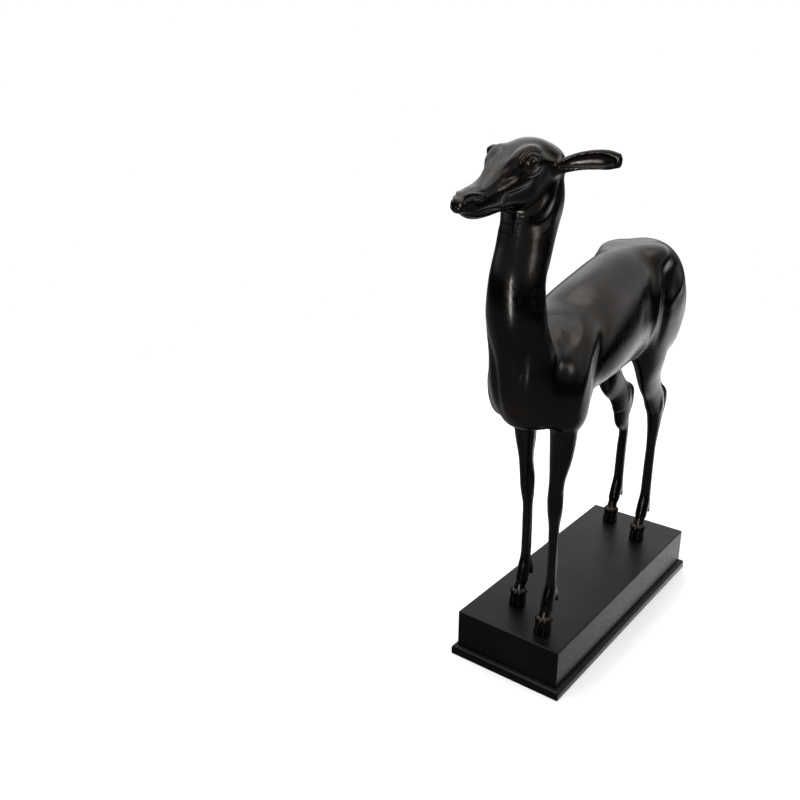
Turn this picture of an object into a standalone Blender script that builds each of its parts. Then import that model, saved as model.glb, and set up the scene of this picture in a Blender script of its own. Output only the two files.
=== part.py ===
"""A bronze doe standing on a plain rectangular plinth with a projecting rim at its foot.

Metres. The doe faces -Y, its left side is +X and +Z is up. The origin is the centre of the
underside of the plinth. The doe is one cast skin. Swept limbs and ellipsoids are joined into
one field in thousandths of the figure's height, with z measured from the top of the plinth,
and the skin is a net laid over that field and drawn onto it.
"""
import bmesh
import bpy
import numpy as np

# Driving sizes in metres
FIGURE_HEIGHT = 1.000
SEAT_GAP = 0.0003
PLINTH_WIDTH = 0.246
PLINTH_LENGTH = 0.664
PLINTH_HEIGHT = 0.107
PLINTH_EDGE = 0.0015
RIM_HEIGHT = 0.0234
RIM_PROJECTION = 0.0103
RIM_SLOPE = 0.0065

# The skin, in thousandths of the figure's height, and its triangle count
NET_STEP = 3.2
NET_LOW = (-180.0, -560.0, -16.0)
NET_HIGH = (180.0, 380.0, 1032.0)
SKIN_TRIANGLES = 8600
FAR = 1000.0
FILLED = -0.05
BOX = 48.0
FRINGE_TUFTS = 9

# Where the legs stand: x and y of each cannon bone, and the side, +1 left and -1 right
FORE_LEFT = (60.5, -262, 1)
FORE_RIGHT = (-37.5, -200, -1)
HIND_LEFT = (45, 221, 1)
HIND_RIGHT = (-51, 269, -1)

# How much fuller the body's masses are than their own measures
FULLER = 2.0

# The head's own frame: it is nodded down and turned to the figure's right
HEAD_AT = (-3.5, -313.0, 949.5)
HEAD_NOD = 12.5
HEAD_TURN = -10.0


def rotation(about_x, about_y, about_z):
    a, b, c = np.radians([about_x, about_y, about_z])
    turn_x = np.array([[1, 0, 0], [0, np.cos(a), -np.sin(a)], [0, np.sin(a), np.cos(a)]])
    turn_y = np.array([[np.cos(b), 0, np.sin(b)], [0, 1, 0], [-np.sin(b), 0, np.cos(b)]])
    turn_z = np.array([[np.cos(c), -np.sin(c), 0], [np.sin(c), np.cos(c), 0], [0, 0, 1]])
    return turn_z @ turn_y @ turn_x


def unit(vectors):
    return vectors / np.maximum(np.linalg.norm(vectors, axis=-1, keepdims=True), 1e-12)


def smooth_path(stations, spacing):
    """Cubic curve through rows of numbers whose first three columns are the position."""
    rows = np.asarray(stations, float)
    chord = np.maximum(np.linalg.norm(np.diff(rows[:, :3], axis=0), axis=1), 1e-6)
    knot = np.concatenate([[0.0], np.cumsum(chord)])
    slope = np.diff(rows, axis=0) / chord[:, None]
    tangent = np.empty_like(rows)
    tangent[0], tangent[-1] = slope[0], slope[-1]
    before, after = chord[:-1, None], chord[1:, None]
    tangent[1:-1] = (slope[:-1] * after + slope[1:] * before) / (before + after)
    count = max(int(np.ceil(knot[-1] / spacing)), 8)
    along = np.linspace(0.0, knot[-1], count + 1)
    i = np.clip(np.searchsorted(knot, along, side="right") - 1, 0, len(chord) - 1)
    width = chord[i][:, None]
    t = (along - knot[i])[:, None] / width
    return ((2 * t**3 - 3 * t**2 + 1) * rows[i] + (t**3 - 2 * t**2 + t) * width * tangent[i]
            + (3 * t**2 - 2 * t**3) * rows[i + 1] + (t**3 - t**2) * width * tangent[i + 1])


class Limb:
    """A swept body. Stations: x, y, z, half width, half depth above, half depth below.

    The width runs along the side axis and "above" is the cross product of the path's
    direction and the side axis. Blend is the radius of the join with the rest.
    """

    def __init__(self, stations, blend, power=2.0, lean=0.0, side=(1, 0, 0), spacing=4.0):
        rows = smooth_path(stations, spacing)
        centre = rows[:, :3]
        along = unit(np.gradient(centre, axis=0))
        across = np.tile(np.asarray(side, float), (len(rows), 1))
        across = unit(across - (across * along).sum(1, keepdims=True) * along)
        above = np.cross(along, across)
        self.table = np.concatenate([centre, along, across, above, rows[:, 3:6]], 1)
        self.blend, self.power, self.lean = blend, power, lean
        margin = rows[:, 3:6].max() + blend + 5
        self.low, self.high = centre.min(0) - margin, centre.max(0) + margin

    def swell(self, amount):
        self.table[:, 12:15] += amount

    def row_at(self, i):
        j = np.clip(i.astype(int), 0, len(self.table) - 2)
        f = (i - j)[:, None]
        return self.table[j] * (1 - f) + self.table[j + 1] * f

    def nearest(self, p):
        """Place along the path, in rows, where the path runs square to the point."""
        centre, last = self.table[:, :3], len(self.table) - 1
        i = np.empty(len(p), int)
        for start in range(0, len(p), 40000):
            q = p[start:start + 40000]
            i[start:start + 40000] = ((centre**2).sum(1)[None] - 2 * q @ centre.T).argmin(1)
        here = self.ahead(p, i)
        way = np.where(here > 0, 1, -1)
        there = self.ahead(p, np.clip(i + way, 0, last))
        share = here / np.where(here == there, 1e9, here - there)
        return np.clip(i + way * np.clip(share, 0, 1), 0, last)

    def ahead(self, p, i):
        row = self.table[i]
        return ((p - row[:, :3]) * row[:, 3:6]).sum(1)

    def value(self, p):
        i = self.nearest(p)
        row = self.row_at(i)
        off = p - row[:, :3]
        along = (off * row[:, 3:6]).sum(1)
        across = (off * row[:, 6:9]).sum(1)
        above = (off * row[:, 9:12]).sum(1)
        depth = np.where(above > 0, row[:, 13], row[:, 14])
        width = row[:, 12] * (1 + self.lean * np.clip(above / depth, -1.2, 1.2))
        past_end = np.where((i <= 0) | (i >= len(self.table) - 1), along, 0.0)
        ring = (np.abs(across / width)**self.power + np.abs(above / depth)**self.power)
        least = np.minimum(width, depth)
        share = np.sqrt(ring**(2 / self.power) + (past_end / least)**2)
        size = np.sqrt(across**2 + above**2 + past_end**2)
        share = np.maximum(share, 1e-3)
        return np.where(share < 0.15, -least * (1 - share), size * (1 - 1 / share))

    def work(self, value, p):
        return join(value, self.value(p), self.blend)


class Ball:
    """An ellipsoid with three half axes, turned by angles about x, y and z in degrees."""

    def __init__(self, centre, half, blend, turn=(0, 0, 0)):
        self.centre, self.half = np.asarray(centre, float), np.asarray(half, float)
        self.turn = rotation(*turn)
        self.blend = blend
        margin = self.half.max() + blend + 5
        self.low, self.high = self.centre - margin, self.centre + margin

    def swell(self, amount):
        self.half = self.half + amount

    def value(self, p):
        q = (p - self.centre) @ self.turn
        share = np.maximum(np.sqrt(((q / self.half)**2).sum(1)), 1e-3)
        size = np.sqrt((q**2).sum(1))
        return np.where(share < 0.15, -self.half.min() * (1 - share), size * (1 - 1 / share))

    def work(self, value, p):
        return join(value, self.value(p), self.blend)


class Hollow:
    """Takes the form of a limb or ball away, with a rounded edge."""

    def __init__(self, part):
        self.part, self.low, self.high = part, part.low, part.high

    def work(self, value, p):
        return cut(value, self.part.value(p), self.part.blend)


class Flat:
    """A level face that trims what hangs below a height, between two places along y."""

    def __init__(self, height, first, last, blend):
        self.height, self.first, self.last, self.blend = height, first, last, blend
        reach = 2 * blend
        self.low = np.array([-FAR, first - reach, height - 60])
        self.high = np.array([FAR, last + reach, height + 3 * blend])

    def work(self, value, p):
        outside = np.maximum(np.maximum(self.first - p[:, 1], p[:, 1] - self.last), 0)
        return cut(value, np.maximum(p[:, 2] - self.height, outside - 4), self.blend)


class Mark:
    """A groove or, with a negative depth, a ridge. Stations: x, y, z, half width, depth."""

    def __init__(self, stations):
        rows = np.asarray(stations, float)
        self.rows = smooth_path(rows, max(rows[:, 3].min() / 2, 0.6))
        margin = 2.6 * rows[:, 3].max()
        self.low, self.high = self.rows[:, :3].min(0) - margin, self.rows[:, :3].max(0) + margin

    def work(self, value, p):
        start, step = self.rows[:-1, :3], np.diff(self.rows[:, :3], axis=0)
        size = (step**2).sum(1)
        i = np.empty(len(p), int)
        for first in range(0, len(p), 40000):
            q = p[first:first + 40000]
            middle = start + step / 2
            i[first:first + 40000] = ((middle**2).sum(1)[None] - 2 * q @ middle.T).argmin(1)
        f = np.clip(((p - start[i]) * step[i]).sum(1) / size[i], 0, 1)
        row = self.rows[i] * (1 - f[:, None]) + self.rows[i + 1] * f[:, None]
        away = ((p - row[:, :3])**2).sum(1) / row[:, 3]**2
        return value + row[:, 4] * np.exp(-away)


class Eye:
    """An eyeball in an almond opening between two lids that stand a little proud of it."""

    def __init__(self, centre, out, corner_line, radius, lid, upper, lower, inset):
        self.centre, self.radius, self.lid, self.inset = centre, radius, lid, inset
        line = unit(corner_line - (corner_line @ out) * out)
        above = unit(np.cross(out, line))
        above *= np.sign(above[2])
        a, b = np.radians([upper, lower])
        self.out = out
        self.upper = np.cos(a) * above - np.sin(a) * out
        self.lower = -np.cos(b) * above - np.sin(b) * out
        margin = radius + lid + 12
        self.low, self.high = centre - margin, centre + margin

    def work(self, value, p):
        off = p - self.centre
        away = np.sqrt((off**2).sum(1))
        edge = off - self.inset * self.radius * self.out
        slit = -join(-(edge @ self.upper), -(edge @ self.lower), 1.5)
        value = join(value, away - self.radius - self.lid, 7)
        value = cut(value, np.maximum(slit, away - self.radius - 2.5 * self.lid), 1.2)
        return join(value, away - self.radius, 0.6)


def join(a, b, radius):
    """Union of two fields with a rounded join."""
    share = np.maximum(radius - np.abs(a - b), 0) / radius
    return np.minimum(a, b) - share**3 * radius / 6


def cut(a, b, radius):
    """Field a with field b taken away."""
    return -join(-a, b, radius)


def trunk():
    return [Limb([
        (0, 266, 641, 66, 78, 80),
        (1, 234, 646, 88, 105, 94),
        (-1, 170, 645, 93, 111, 112),
        (-3, 90, 632, 92, 119, 132),
        (-2, 10, 608, 97, 125, 115),
        (0, -70, 584, 104, 127, 83),
        (1, -150, 566, 105, 118, 61),
        (1, -225, 560, 92, 106, 77),
        (4, -280, 556, 76, 84, 106),
        (3, -308, 550, 62, 70, 96),
    ], blend=30, power=2.15)] + [Ball((s * 45, 158, 724), (34, 52, 28), blend=40) for s in (1, -1)]


def neck():
    return [Limb([
        (-7, -294, 945, 42, 33, 59),
        (-7, -300, 900, 46, 49, 78),
        (-8, -311, 858, 46, 55, 73),
        (-6, -325, 807, 48.5, 55, 51),
        (-4, -338, 750, 53, 62, 18),
        (-2, -337, 690, 59, 65, 6),
        (0, -324, 630, 63, 62, 30),
        (2, -312, 575, 66, 65, 60),
        (5, -304, 525, 60, 60, 60),
        (9, -298, 490, 49, 48, 56),
    ], blend=30)]


def shoulder(x, y, s):
    """Blade from the withers to the point of the shoulder, then the upper arm."""
    return [
        Limb([
            (4 + s * 40, -168, 640, 14, 24, 28),
            (4 + s * 64, -200, 612, 18, 36, 40),
            (4 + s * 72, -238, 566, 22, 46, 35),
            (0.6 * (x + s * 16) + s * 26, 0.6 * y - 90, 520, 24, 48, 22),
            (x + s * 12, y + 2, 474, 21, 32, 8),
        ], blend=34),
        Ball((4 + s * 62, -264, 522), (38, 52, 84), blend=50, turn=(10, 0, 0)),
    ]


def fore_leg(x, y, s, spread, upper):
    """One path from the elbow down to the hoof; spread sets the elbow out from the hoof."""
    return [Limb([
        (x + s * (spread - 16), y + 34, 590, 18, 28, 15),
        (x + s * (spread + 1), y + 2, 510, 21, 33, 9),
        (x + s * spread, y - 3, 460, 21.5 + upper, 28, 14.5),
        (x + s * spread * 0.75, y - 5, 400, 18 + upper, 21, 16),
        (x + s * spread * 0.35, y - 8, 345, 14.2, 16, 13),
        (x + s * 1.5, y - 8, 305, 14.2 - upper / 3, 17, 14),
        (x + s * 1, y - 6, 278, 13.2 - upper / 3, 15.5, 13),
        (x, y - 2, 245, 10 - upper / 6, 11.5, 10.5),
        (x, y, 200, 8.6 - upper / 6, 10, 11),
        (x, y + 1, 150, 8.6 - upper / 6, 10, 11.5),
        (x, y - 1, 105, 9.2, 10, 12.5),
        (x, y - 6, 80, 11.5, 12, 15),
        (x, y - 12, 58, 11.5, 11.5, 12.5),
    ], blend=16)]


def hind_leg(x, y, s, back, reach, thigh, drop):
    """Thigh, gaskin, hock and cannon; back sets the hock behind the hoof.

    Reach swings the gaskin forward, thigh is the half height of the thigh's mass and
    drop lowers the hock.
    """
    hock = y + back
    return [
        Ball((s * 54, 208, 708 - thigh), (40, 105, thigh), blend=30, turn=(-4, 0, 0)),
        Limb([
            (x * 0.4 + s * 33, hock - 96 - reach / 2, 590, 34, 80 - reach / 4, 70 - reach),
            (x * 0.6 + s * 25, hock - 96 - 0.8 * reach, 545, 34, 81 - 0.7 * reach, 74 - 1.6 * reach),
            (x + s * 10, hock - 86 - reach, 500 - drop / 2, 29 - 0.3 * reach, 61 - 0.9 * reach,
             60 - 1.8 * reach),
            (x + s * 5, hock - 61 - reach / 2, 450 - drop, 20, 49 + reach / 8, 33 - reach / 2),
            (x + s * 2, hock - 32, 412 - drop, 16.5, 42 + 0.3 * reach, 19),
            (x, hock - 7, 380 - drop, 17, 43 + 0.3 * reach, 25),
            (x, hock + 5, 352 - drop, 16.5, 37 + 0.5 * reach, 22),
            (x, hock + 7, 315 - drop, 13.5, 26 + 0.4 * reach, 17),
            (x, y + 37, 260 - drop / 3, 9.8, 14.5, 13),
            (x, y + 36, 200, 9.2, 14, 13),
            (x, y + 34, 140, 9.8, 14, 14),
            (x, y + 31, 110, 10.5, 13, 15),
            (x, y + 24, 85, 12, 13.5, 15),
            (x, y + 16, 62, 12, 12, 12.5),
        ], blend=20),
        Limb([
            (x + s * 7, hock - 50 - reach, 510 - drop / 2, 8, 14, 8),
            (x + s * 3, hock - 10 - 1.1 * reach, 450 - drop, 6.5, 36, 6),
            (x + s * 1, hock + 9 - 0.2 * reach, 405 - drop, 7.5, 32, 8),
            (x, hock + 33, 379 - drop, 11, 26, 11),
            (x, hock + 36, 352 - drop, 10, 18, 11),
            (x, hock + 24, 310 - drop, 7, 9, 9),
        ], blend=9),
    ]


def foot(x, y, s):
    """Pastern, a fringe over the coronet, two claws and two dewclaws.

    y is the middle of the hoof's ground print.
    """
    parts = [Limb([
        (x, y + 17, 64, 11, 11, 12),
        (x, y + 11, 50, 11.5, 11, 11),
        (x, y + 6, 38, 12.5, 12, 12),
        (x, y + 3, 24, 14, 13.5, 13),
    ], blend=6)]
    for turn in np.arange(FRINGE_TUFTS) * 360.0 / FRINGE_TUFTS:
        out = rotation(0, 0, turn) @ np.array([0, -1, 0])
        parts.append(Ball((x, y + 4, 33) + 14.8 * out, (4.8, 3.6, 7.0), blend=2.5, turn=(-30, 0, turn)))
    for claw in (1, -1):
        parts.append(Limb([
            (x + claw * 6.8, y + 5, 32, 8, 12, 11),
            (x + claw * 7.6, y + 3, 18, 8.4, 14.5, 13),
            (x + claw * 8.6, y + 1, -8, 9.3, 17, 16),
        ], blend=4, power=2.5))
        parts.append(Limb([
            (x + claw * 5, y + 32, 98, 5.5, 5.5, 5.5),
            (x + claw * 6.5, y + 37, 84, 6, 6, 6),
            (x + claw * 7.5, y + 40, 66, 5, 5, 5),
        ], blend=9))
    return parts


def head_turn():
    return rotation(0, 0, HEAD_TURN) @ rotation(HEAD_NOD, 0, 0)


def on_head(points):
    """Rows given in the head's own frame, carried to the figure's frame."""
    rows = np.array(points, float)
    rows[..., :3] = rows[..., :3] @ head_turn().T + np.array(HEAD_AT)
    return rows


def head():
    turn = head_turn()
    parts = [Limb(on_head([
        (0, 58, -8, 24, 10, 30),
        (0, 38, 3, 36, 24, 54),
        (0, 4, 8, 43.5, 43, 74),
        (0, -35, 7, 43, 45.5, 72),
        (0, -75, 3, 36, 34.5, 58),
        (0, -110, -5, 28, 24, 41.5),
        (0, -140, -9, 25.5, 20.5, 34.5),
        (0, -163, -9, 24.5, 19, 29.5),
        (0, -179, -8, 21.5, 15, 22),
        (0, -189, -8, 14, 10, 13),
    ]), blend=14, side=turn[:, 0], power=2.2, lean=0.12)]
    for s in (1, -1):
        socket = on_head([(s * 30, -48, 26)])[0]
        parts.append(Ball(socket, (16, 32, 22), blend=18, turn=(HEAD_NOD, 0, HEAD_TURN)))
    return parts


def eye(s):
    """Looks outwards, a little forward and up."""
    turn = head_turn()
    centre = on_head([(s * 38.2, -50, 26)])[0]
    out = unit(turn @ np.array([s * 0.95, -0.30, 0.08]))
    corner_line = turn @ np.array([-s * 0.3, -0.93, -0.24])
    return Eye(centre, out, corner_line, radius=13.8, lid=2.4, upper=70, lower=62, inset=0.40)


def ear(s):
    """A thin-walled ear held out sideways, hollow on its front; the right one points more forward."""
    turn = head_turn()
    back, rise = (1.0, 0.0) if s > 0 else (0.58, 4.0)

    def along(rows):
        return [(s * x, 8 + (y - 8) * back, z + rise * (x - 32) / 100, *size) for x, y, z, *size in rows]

    shell = Limb(on_head(along([
        (32, 8, -2, 13, 12, 12),
        (56, 23, 3, 13.5, 8.5, 8.5),
        (80, 35, 7.5, 15.5, 7.5, 7.5),
        (104, 47, 8, 17, 7.5, 7),
        (124, 56, 6, 16.5, 7, 6),
        (138, 62, 4, 12.5, 6, 5),
    ])), blend=12, power=2.3, side=turn[:, 2])
    hollow = Limb(on_head(along([
        (53, 13, 4, 3.5, 3.5, 3.5),
        (64, 19, 5.5, 7.5, 7, 7),
        (80, 26, 7.5, 11, 9, 9),
        (102, 37, 8, 12.5, 9.5, 9.5),
        (122, 47, 6, 11.5, 8, 8),
        (132, 52, 5, 7, 5, 5),
    ])), blend=3, side=turn[:, 2])
    return [shell, Hollow(hollow)]


def nostril(s):
    return [Hollow(Limb(on_head([
        (s * 9, -188, -4, 2.6, 2.6, 2.6),
        (s * 14, -184, 2, 3.4, 3.4, 3.4),
        (s * 20, -176, 5, 3.2, 3.2, 3.2),
        (s * 25, -167, 3, 2.0, 2.0, 2.0),
        (s * 27, -161, 0, 1.2, 1.2, 1.2),
    ]), blend=2.0, spacing=2.0))]


def tail():
    return [Limb([
        (-2, 302, 690, 17, 14, 14),
        (-2, 322, 668, 16, 10, 10),
        (-2, 330, 636, 13, 9, 9),
        (-2, 328, 612, 7, 5, 5),
    ], blend=12)]


def body_forms():
    """The doe's masses, before anything is carved into them."""
    barrel = trunk() + neck() + shoulder(*FORE_LEFT) + shoulder(*FORE_RIGHT)
    limbs = fore_leg(*FORE_LEFT, 9, 3.5) + fore_leg(*FORE_RIGHT, 16, 3.5)
    limbs += hind_leg(*HIND_LEFT, 34, 0, 108, 3) + hind_leg(*HIND_RIGHT, 16, 23, 90, 25)
    limbs += tail() + head()
    for part in barrel + limbs:
        part.swell(FULLER)
    feet = []
    for x, y, s in (FORE_LEFT, FORE_RIGHT):
        feet += foot(x, y - 26, s)
    for x, y, s in (HIND_LEFT, HIND_RIGHT):
        feet += foot(x, y, s)
    return barrel + [Flat(460, -420, -205, blend=30)] + limbs + feet + [ear(s)[0] for s in (1, -1)]


def muscles(s):
    """Soft hollows and ridges of one side of the trunk. Rows: x, y, z, half width, depth."""
    return [
        [(s * 60, -286, 664, 20, 0), (s * 70, -304, 620, 20, 2), (s * 74, -312, 570, 20, 3),
         (s * 74, -300, 510, 18, 0)],
        [(s * 62, -165, 652, 14, 0), (s * 84, -205, 632, 13, -3), (s * 98, -244, 599, 12, -4),
         (s * 104, -272, 562, 12, -4), (s * 100, -284, 520, 12, -2), (s * 92, -278, 480, 12, 0)],
        [(s * 72, -130, 652, 14, 0), (s * 90, -172, 622, 14, 3), (s * 98, -206, 586, 14, 5),
         (s * 100, -228, 548, 13, 5), (s * 96, -238, 508, 12, 3), (s * 88, -236, 476, 12, 0)],
        [(s * 60, 96, 722, 16, 0), (s * 72, 82, 694, 14, 3), (s * 80, 66, 660, 13, 4),
         (s * 82, 62, 620, 13, 4), (s * 78, 54, 575, 12, 0)],
        [(s * 58, 128, 728, 10, 0), (s * 73, 113, 700, 9, -3), (s * 83, 97, 668, 9, -5),
         (s * 84, 94, 623, 9, -6), (s * 81, 85, 577, 9, -5), (s * 71, 68, 543, 10, 0)],
        [(s * 70, 162, 722, 18, 3), (s * 82, 148, 690, 19, 9), (s * 88, 138, 650, 19, 10),
         (s * 88, 134, 610, 17, 7), (s * 84, 128, 560, 15, 3), (s * 78, 118, 530, 14, 0)],
        [(s * 52, 176, 742, 18, -2), (s * 62, 150, 732, 18, -4)],
        [(s * 84, 184, 706, 17, 4), (s * 88, 172, 668, 17, 6), (s * 89, 168, 630, 15, 0)],
        [(s * 87, 214, 690, 13, 0), (s * 89, 196, 664, 12, -4), (s * 88, 168, 642, 11, -3),
         (s * 86, 146, 622, 10, 0)],
        [(s * 78, 262, 668, 17, 0), (s * 74, 268, 620, 16, 5), (s * 66, 262, 560, 15, 5),
         (s * 60, 250, 510, 12, 0)],
        [(s * 88, 10, 670, 36, 0), (s * 88, 36, 640, 34, 5), (s * 84, 52, 600, 30, 0)],
        [(s * 40, -330, 800, 12, 0), (s * 46, -322, 740, 14, 3), (s * 56, -318, 680, 16, 3),
         (s * 64, -312, 630, 15, 0)],
        [(s * 44, -368, 690, 12, 0), (s * 38, -374, 640, 10, 4), (s * 30, -376, 595, 9, 6),
         (s * 24, -374, 550, 9, 6), (s * 24, -366, 510, 9, 5), (s * 28, -350, 482, 10, 0)],
    ]


def middle_lines():
    """The hollow of the breastbone, the spine and the cleft under the tail."""
    return [
        [(0, -384, 640, 12, 0), (2, -388, 580, 12, 3), (4, -384, 520, 12, 3), (5, -372, 478, 10, 0)],
        [(2, -200, 674, 12, 0), (1, -60, 694, 14, -2), (0, 40, 734, 14, 0)],
        [(-2, 330, 600, 10, 3), (-2, 322, 560, 12, 7), (-2, 300, 510, 12, 5)],
    ]


def eye_arcs(s):
    """Folds that run over and under the eye, as arcs about its centre, in the head's own frame."""
    marks = []
    for reach, width, depth, first, last in (
            (16.8, 1.5, -1.2, 200, -35), (19.4, 1.4, 1.6, 196, -25), (22.4, 1.8, -1.3, 188, -20),
            (25.4, 1.6, 1.4, 180, -12), (29.0, 2.2, -1.8, 174, -4), (32.5, 2.0, 1.2, 168, 8),
            (16.8, 1.4, -1.2, 215, 335), (19.4, 1.4, 1.4, 225, 325), (23.0, 2.2, -1.0, 230, 310),
            (27.0, 2.2, 0.9, 236, 300)):
        marks.append([])
        for k, turn in enumerate(np.radians(np.linspace(first, last, 9))):
            share = np.sin(np.pi * k / 8) ** 0.5
            marks[-1].append((s * 44, -50 + 1.08 * reach * np.cos(turn), 26 + 0.92 * reach * np.sin(turn),
                              width, depth * share))
    return marks


def face_marks(s):
    """Carving of one side of the head, in the head's own frame."""
    return eye_arcs(s) + [
        [(s * 10, -130, 8, 5, 0), (s * 13, -108, 18, 5, -1.4), (s * 18, -90, 31, 5, -2.8),
         (s * 26, -76, 41, 5, -3.8), (s * 32, -58, 49, 6, -3.2), (s * 37, -34, 48, 6, -2.6),
         (s * 41, -14, 38, 6, 0)],
        [(s * 46, -70, 20, 2.6, 2.6), (s * 42, -76, 17, 3.0, 3.0), (s * 37, -85, 14, 5, 2.6),
         (s * 30, -98, 11, 6, 2.0), (s * 27, -114, 8, 7, 0)],
        [(s * 46, -50, -4, 9, 0), (s * 43, -64, -4, 9, -2.4), (s * 36, -84, -5, 9, -3),
         (s * 29, -108, -7, 8, -1.6), (s * 28, -122, -7, 8, 0)],
        [(s * 43, -42, -18, 12, 0), (s * 40, -60, -22, 12, 3.0), (s * 35, -82, -22, 10, 3.8),
         (s * 29, -104, -20, 9, 2.0), (s * 28, -116, -18, 8, 0)],
        [(s * 31, -96, 16, 8, 0), (s * 26, -118, 5, 8, 2.2), (s * 25, -142, 2, 7, 1.2),
         (s * 26, -156, 6, 5, 0)],
        [(s * 44, -16, 36, 8, 2), (s * 45, -2, 28, 8, 4), (s * 43, 14, 14, 8, 2),
         (s * 42, 20, 8, 8, 0)],
        [(s * 32, 36, -20, 9, 0), (s * 40, 24, -38, 9, 3.4), (s * 42, 6, -62, 9, 4.4),
         (s * 37, -22, -82, 9, 3.6), (s * 28, -48, -90, 8, 1.6), (s * 20, -66, -86, 8, 0)],
        [(s * 43, 4, -20, 16, 0), (s * 44, -8, -38, 15, -2.6), (s * 40, -28, -56, 14, -3.2),
         (s * 33, -52, -62, 12, -2), (s * 28, -76, -55, 11, 0)],
        [(s * 10, -182, 11, 3.4, -1.2), (s * 20, -175, 12.5, 2.8, -2.4), (s * 27, -166, 9, 2.8, -2.4),
         (s * 31, -157, 2, 3, -1.4), (s * 30, -152, -6, 4, 0)],
        [(s * 19, -164, 16, 3.5, 0), (s * 26, -156, 12, 3, 1.6), (s * 31, -149, 4, 3, 1.8),
         (s * 31, -146, -5, 4, 0)],
        [(s * 26, -174, -3, 3, 0), (s * 30, -165, -4, 3, -1.6), (s * 31, -156, -2, 3, 0)],
        [(s * 17, -187, -18, 6, -1.5), (s * 26, -170, -18, 6, -2.4), (s * 28, -148, -20, 6, -2.2),
         (s * 26, -128, -24, 6, -1.2), (s * 25, -114, -28, 6, 0)],
        [(s * 22, -112, -33, 4, 0), (s * 25, -107, -28, 3, 2.0), (s * 29, -104, -18, 4, 1.6),
         (s * 30, -101, -8, 5, 0)],
    ]


def muzzle_marks():
    """The mouth line, the cleft of the lip, the nose pad's edge and the brow's hollow."""
    side = [(20, -108, -37, 2.2, 0.5), (21, -120, -34, 2.0, 2.2), (22, -136, -29.5, 1.9, 2.8),
            (22, -152, -28, 1.9, 3.0), (20, -170, -27, 1.9, 3.0), (11, -184, -26, 1.9, 2.8),
            (0, -190, -26, 1.9, 2.8)]
    other = [(-x, *rest) for x, *rest in side[-2::-1]]
    return [
        side + other,
        [(0, -192, 0, 2.2, 0), (0, -193, -9, 2.0, 1.6), (0, -191, -22, 1.8, 1.2)],
        [(0, -168, 14, 9, 0), (0, -182, 8, 8, -1.0), (0, -190, -4, 9, -1.5)],
        [(0, -100, 20, 11, 0), (0, -76, 37, 13, 1.2), (0, -50, 47, 15, 1.0), (0, -24, 52, 15, 0)],
    ]


def leg_marks(x, y, s, hind, hock):
    """Tendons and joints of one leg. Rows: x, y, z, half width, depth."""
    marks = []
    rear = 36 if hind else 0
    for side in (1, -1):
        marks.append([(x + side * 8, y + rear + 4, 262, 4, 0), (x + side * 8, y + rear + 4, 230, 3.4, 2.0),
                      (x + side * 8, y + rear + 4, 150, 3.4, 2.2), (x + side * 9, y + rear + 3, 112, 4, 0)])
        marks.append([(x + side * 10, y + rear - 6, 240, 5, 0), (x + side * 9, y + rear - 7, 180, 4, -1.0),
                      (x + side * 9, y + rear - 8, 120, 5, 0)])
    if hind:
        for side in (1, -1):
            marks.append([(x + s * 6 + side * 20, hock - 38, 505, 9, 0),
                          (x + s * 3 + side * 16, hock - 16, 455, 8, 5),
                          (x + side * 14, hock + 6, 412, 7, 5), (x + side * 13, hock + 20, 384, 6, 3),
                          (x + side * 12, hock + 22, 350, 6, 2), (x + side * 10, hock + 14, 318, 6, 0)])
            marks.append([(x + side * 15, hock - 12, 386, 8, 0), (x + side * 15, hock - 4, 362, 7, -2.5),
                          (x + side * 12, hock - 2, 330, 7, 0)])
    else:
        for side in (1, -1):
            marks.append([(x + side * 17, y + 4, 440, 6, 0), (x + side * 15, y - 2, 400, 5, 2.5),
                          (x + side * 13, y - 2, 350, 5, 2.5), (x + side * 12, y, 322, 5, 0)])
            marks.append([(x + side * 13, y - 6, 322, 6, 0), (x + side * 14, y - 8, 302, 6, -2.5),
                          (x + side * 12, y - 4, 276, 6, -1.5), (x + side * 9, y, 252, 5, 0)])
    return marks


def carved(forms):
    """All parts in the order they are worked: the masses, then what is carved into them."""
    plain = field_of(forms)
    marks = middle_lines()
    for s in (1, -1):
        marks += muscles(s)
        marks += [on_head(rows) for rows in face_marks(s)]
    marks += [on_head(rows) for rows in muzzle_marks()]
    for x, y, s in (FORE_LEFT, FORE_RIGHT):
        marks += leg_marks(x, y, s, False, 0)
    marks += leg_marks(*HIND_LEFT, True, HIND_LEFT[1] + 34)
    marks += leg_marks(*HIND_RIGHT, True, HIND_RIGHT[1] + 16)
    parts = forms + [Mark(rows) for rows in laid_on(plain, marks)]
    for s in (1, -1):
        parts += [eye(s)] + ear(s)[1:] + nostril(s)
    return parts


def laid_on(field, marks):
    """The marks' stations moved onto the surface, all at once."""
    rows = np.concatenate([np.asarray(mark, float) for mark in marks])
    rows[:, :3] = settle(field, rows[:, :3], 4, most=6.0, reach=1.0)
    ends = np.cumsum([len(mark) for mark in marks])[:-1]
    return np.split(rows, ends)


def doe():
    return carved(body_forms())


def field_of(parts):
    """The joined field, cut flat at the soles. Points are worked in boxes of one size."""
    lows, highs = np.array([part.low for part in parts]), np.array([part.high for part in parts])

    def worked(p):
        value = np.full(len(p), FAR)
        for i in np.flatnonzero(((highs >= p.min(0)) & (lows <= p.max(0))).all(1)):
            near = ((p >= lows[i]) & (p <= highs[i])).all(1)
            if near.any():
                value[near] = parts[i].work(value[near], p[near])
        return value

    def field(p):
        value = np.empty(len(p))
        key = np.floor(p / BOX).astype(int) @ np.array([1, 1000, 1000000])
        order = np.argsort(key, kind="stable")
        for group in np.split(order, np.flatnonzero(np.diff(key[order])) + 1):
            value[group] = worked(p[group])
        return cut(value, p[:, 2], 2.0)
    return field


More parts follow.
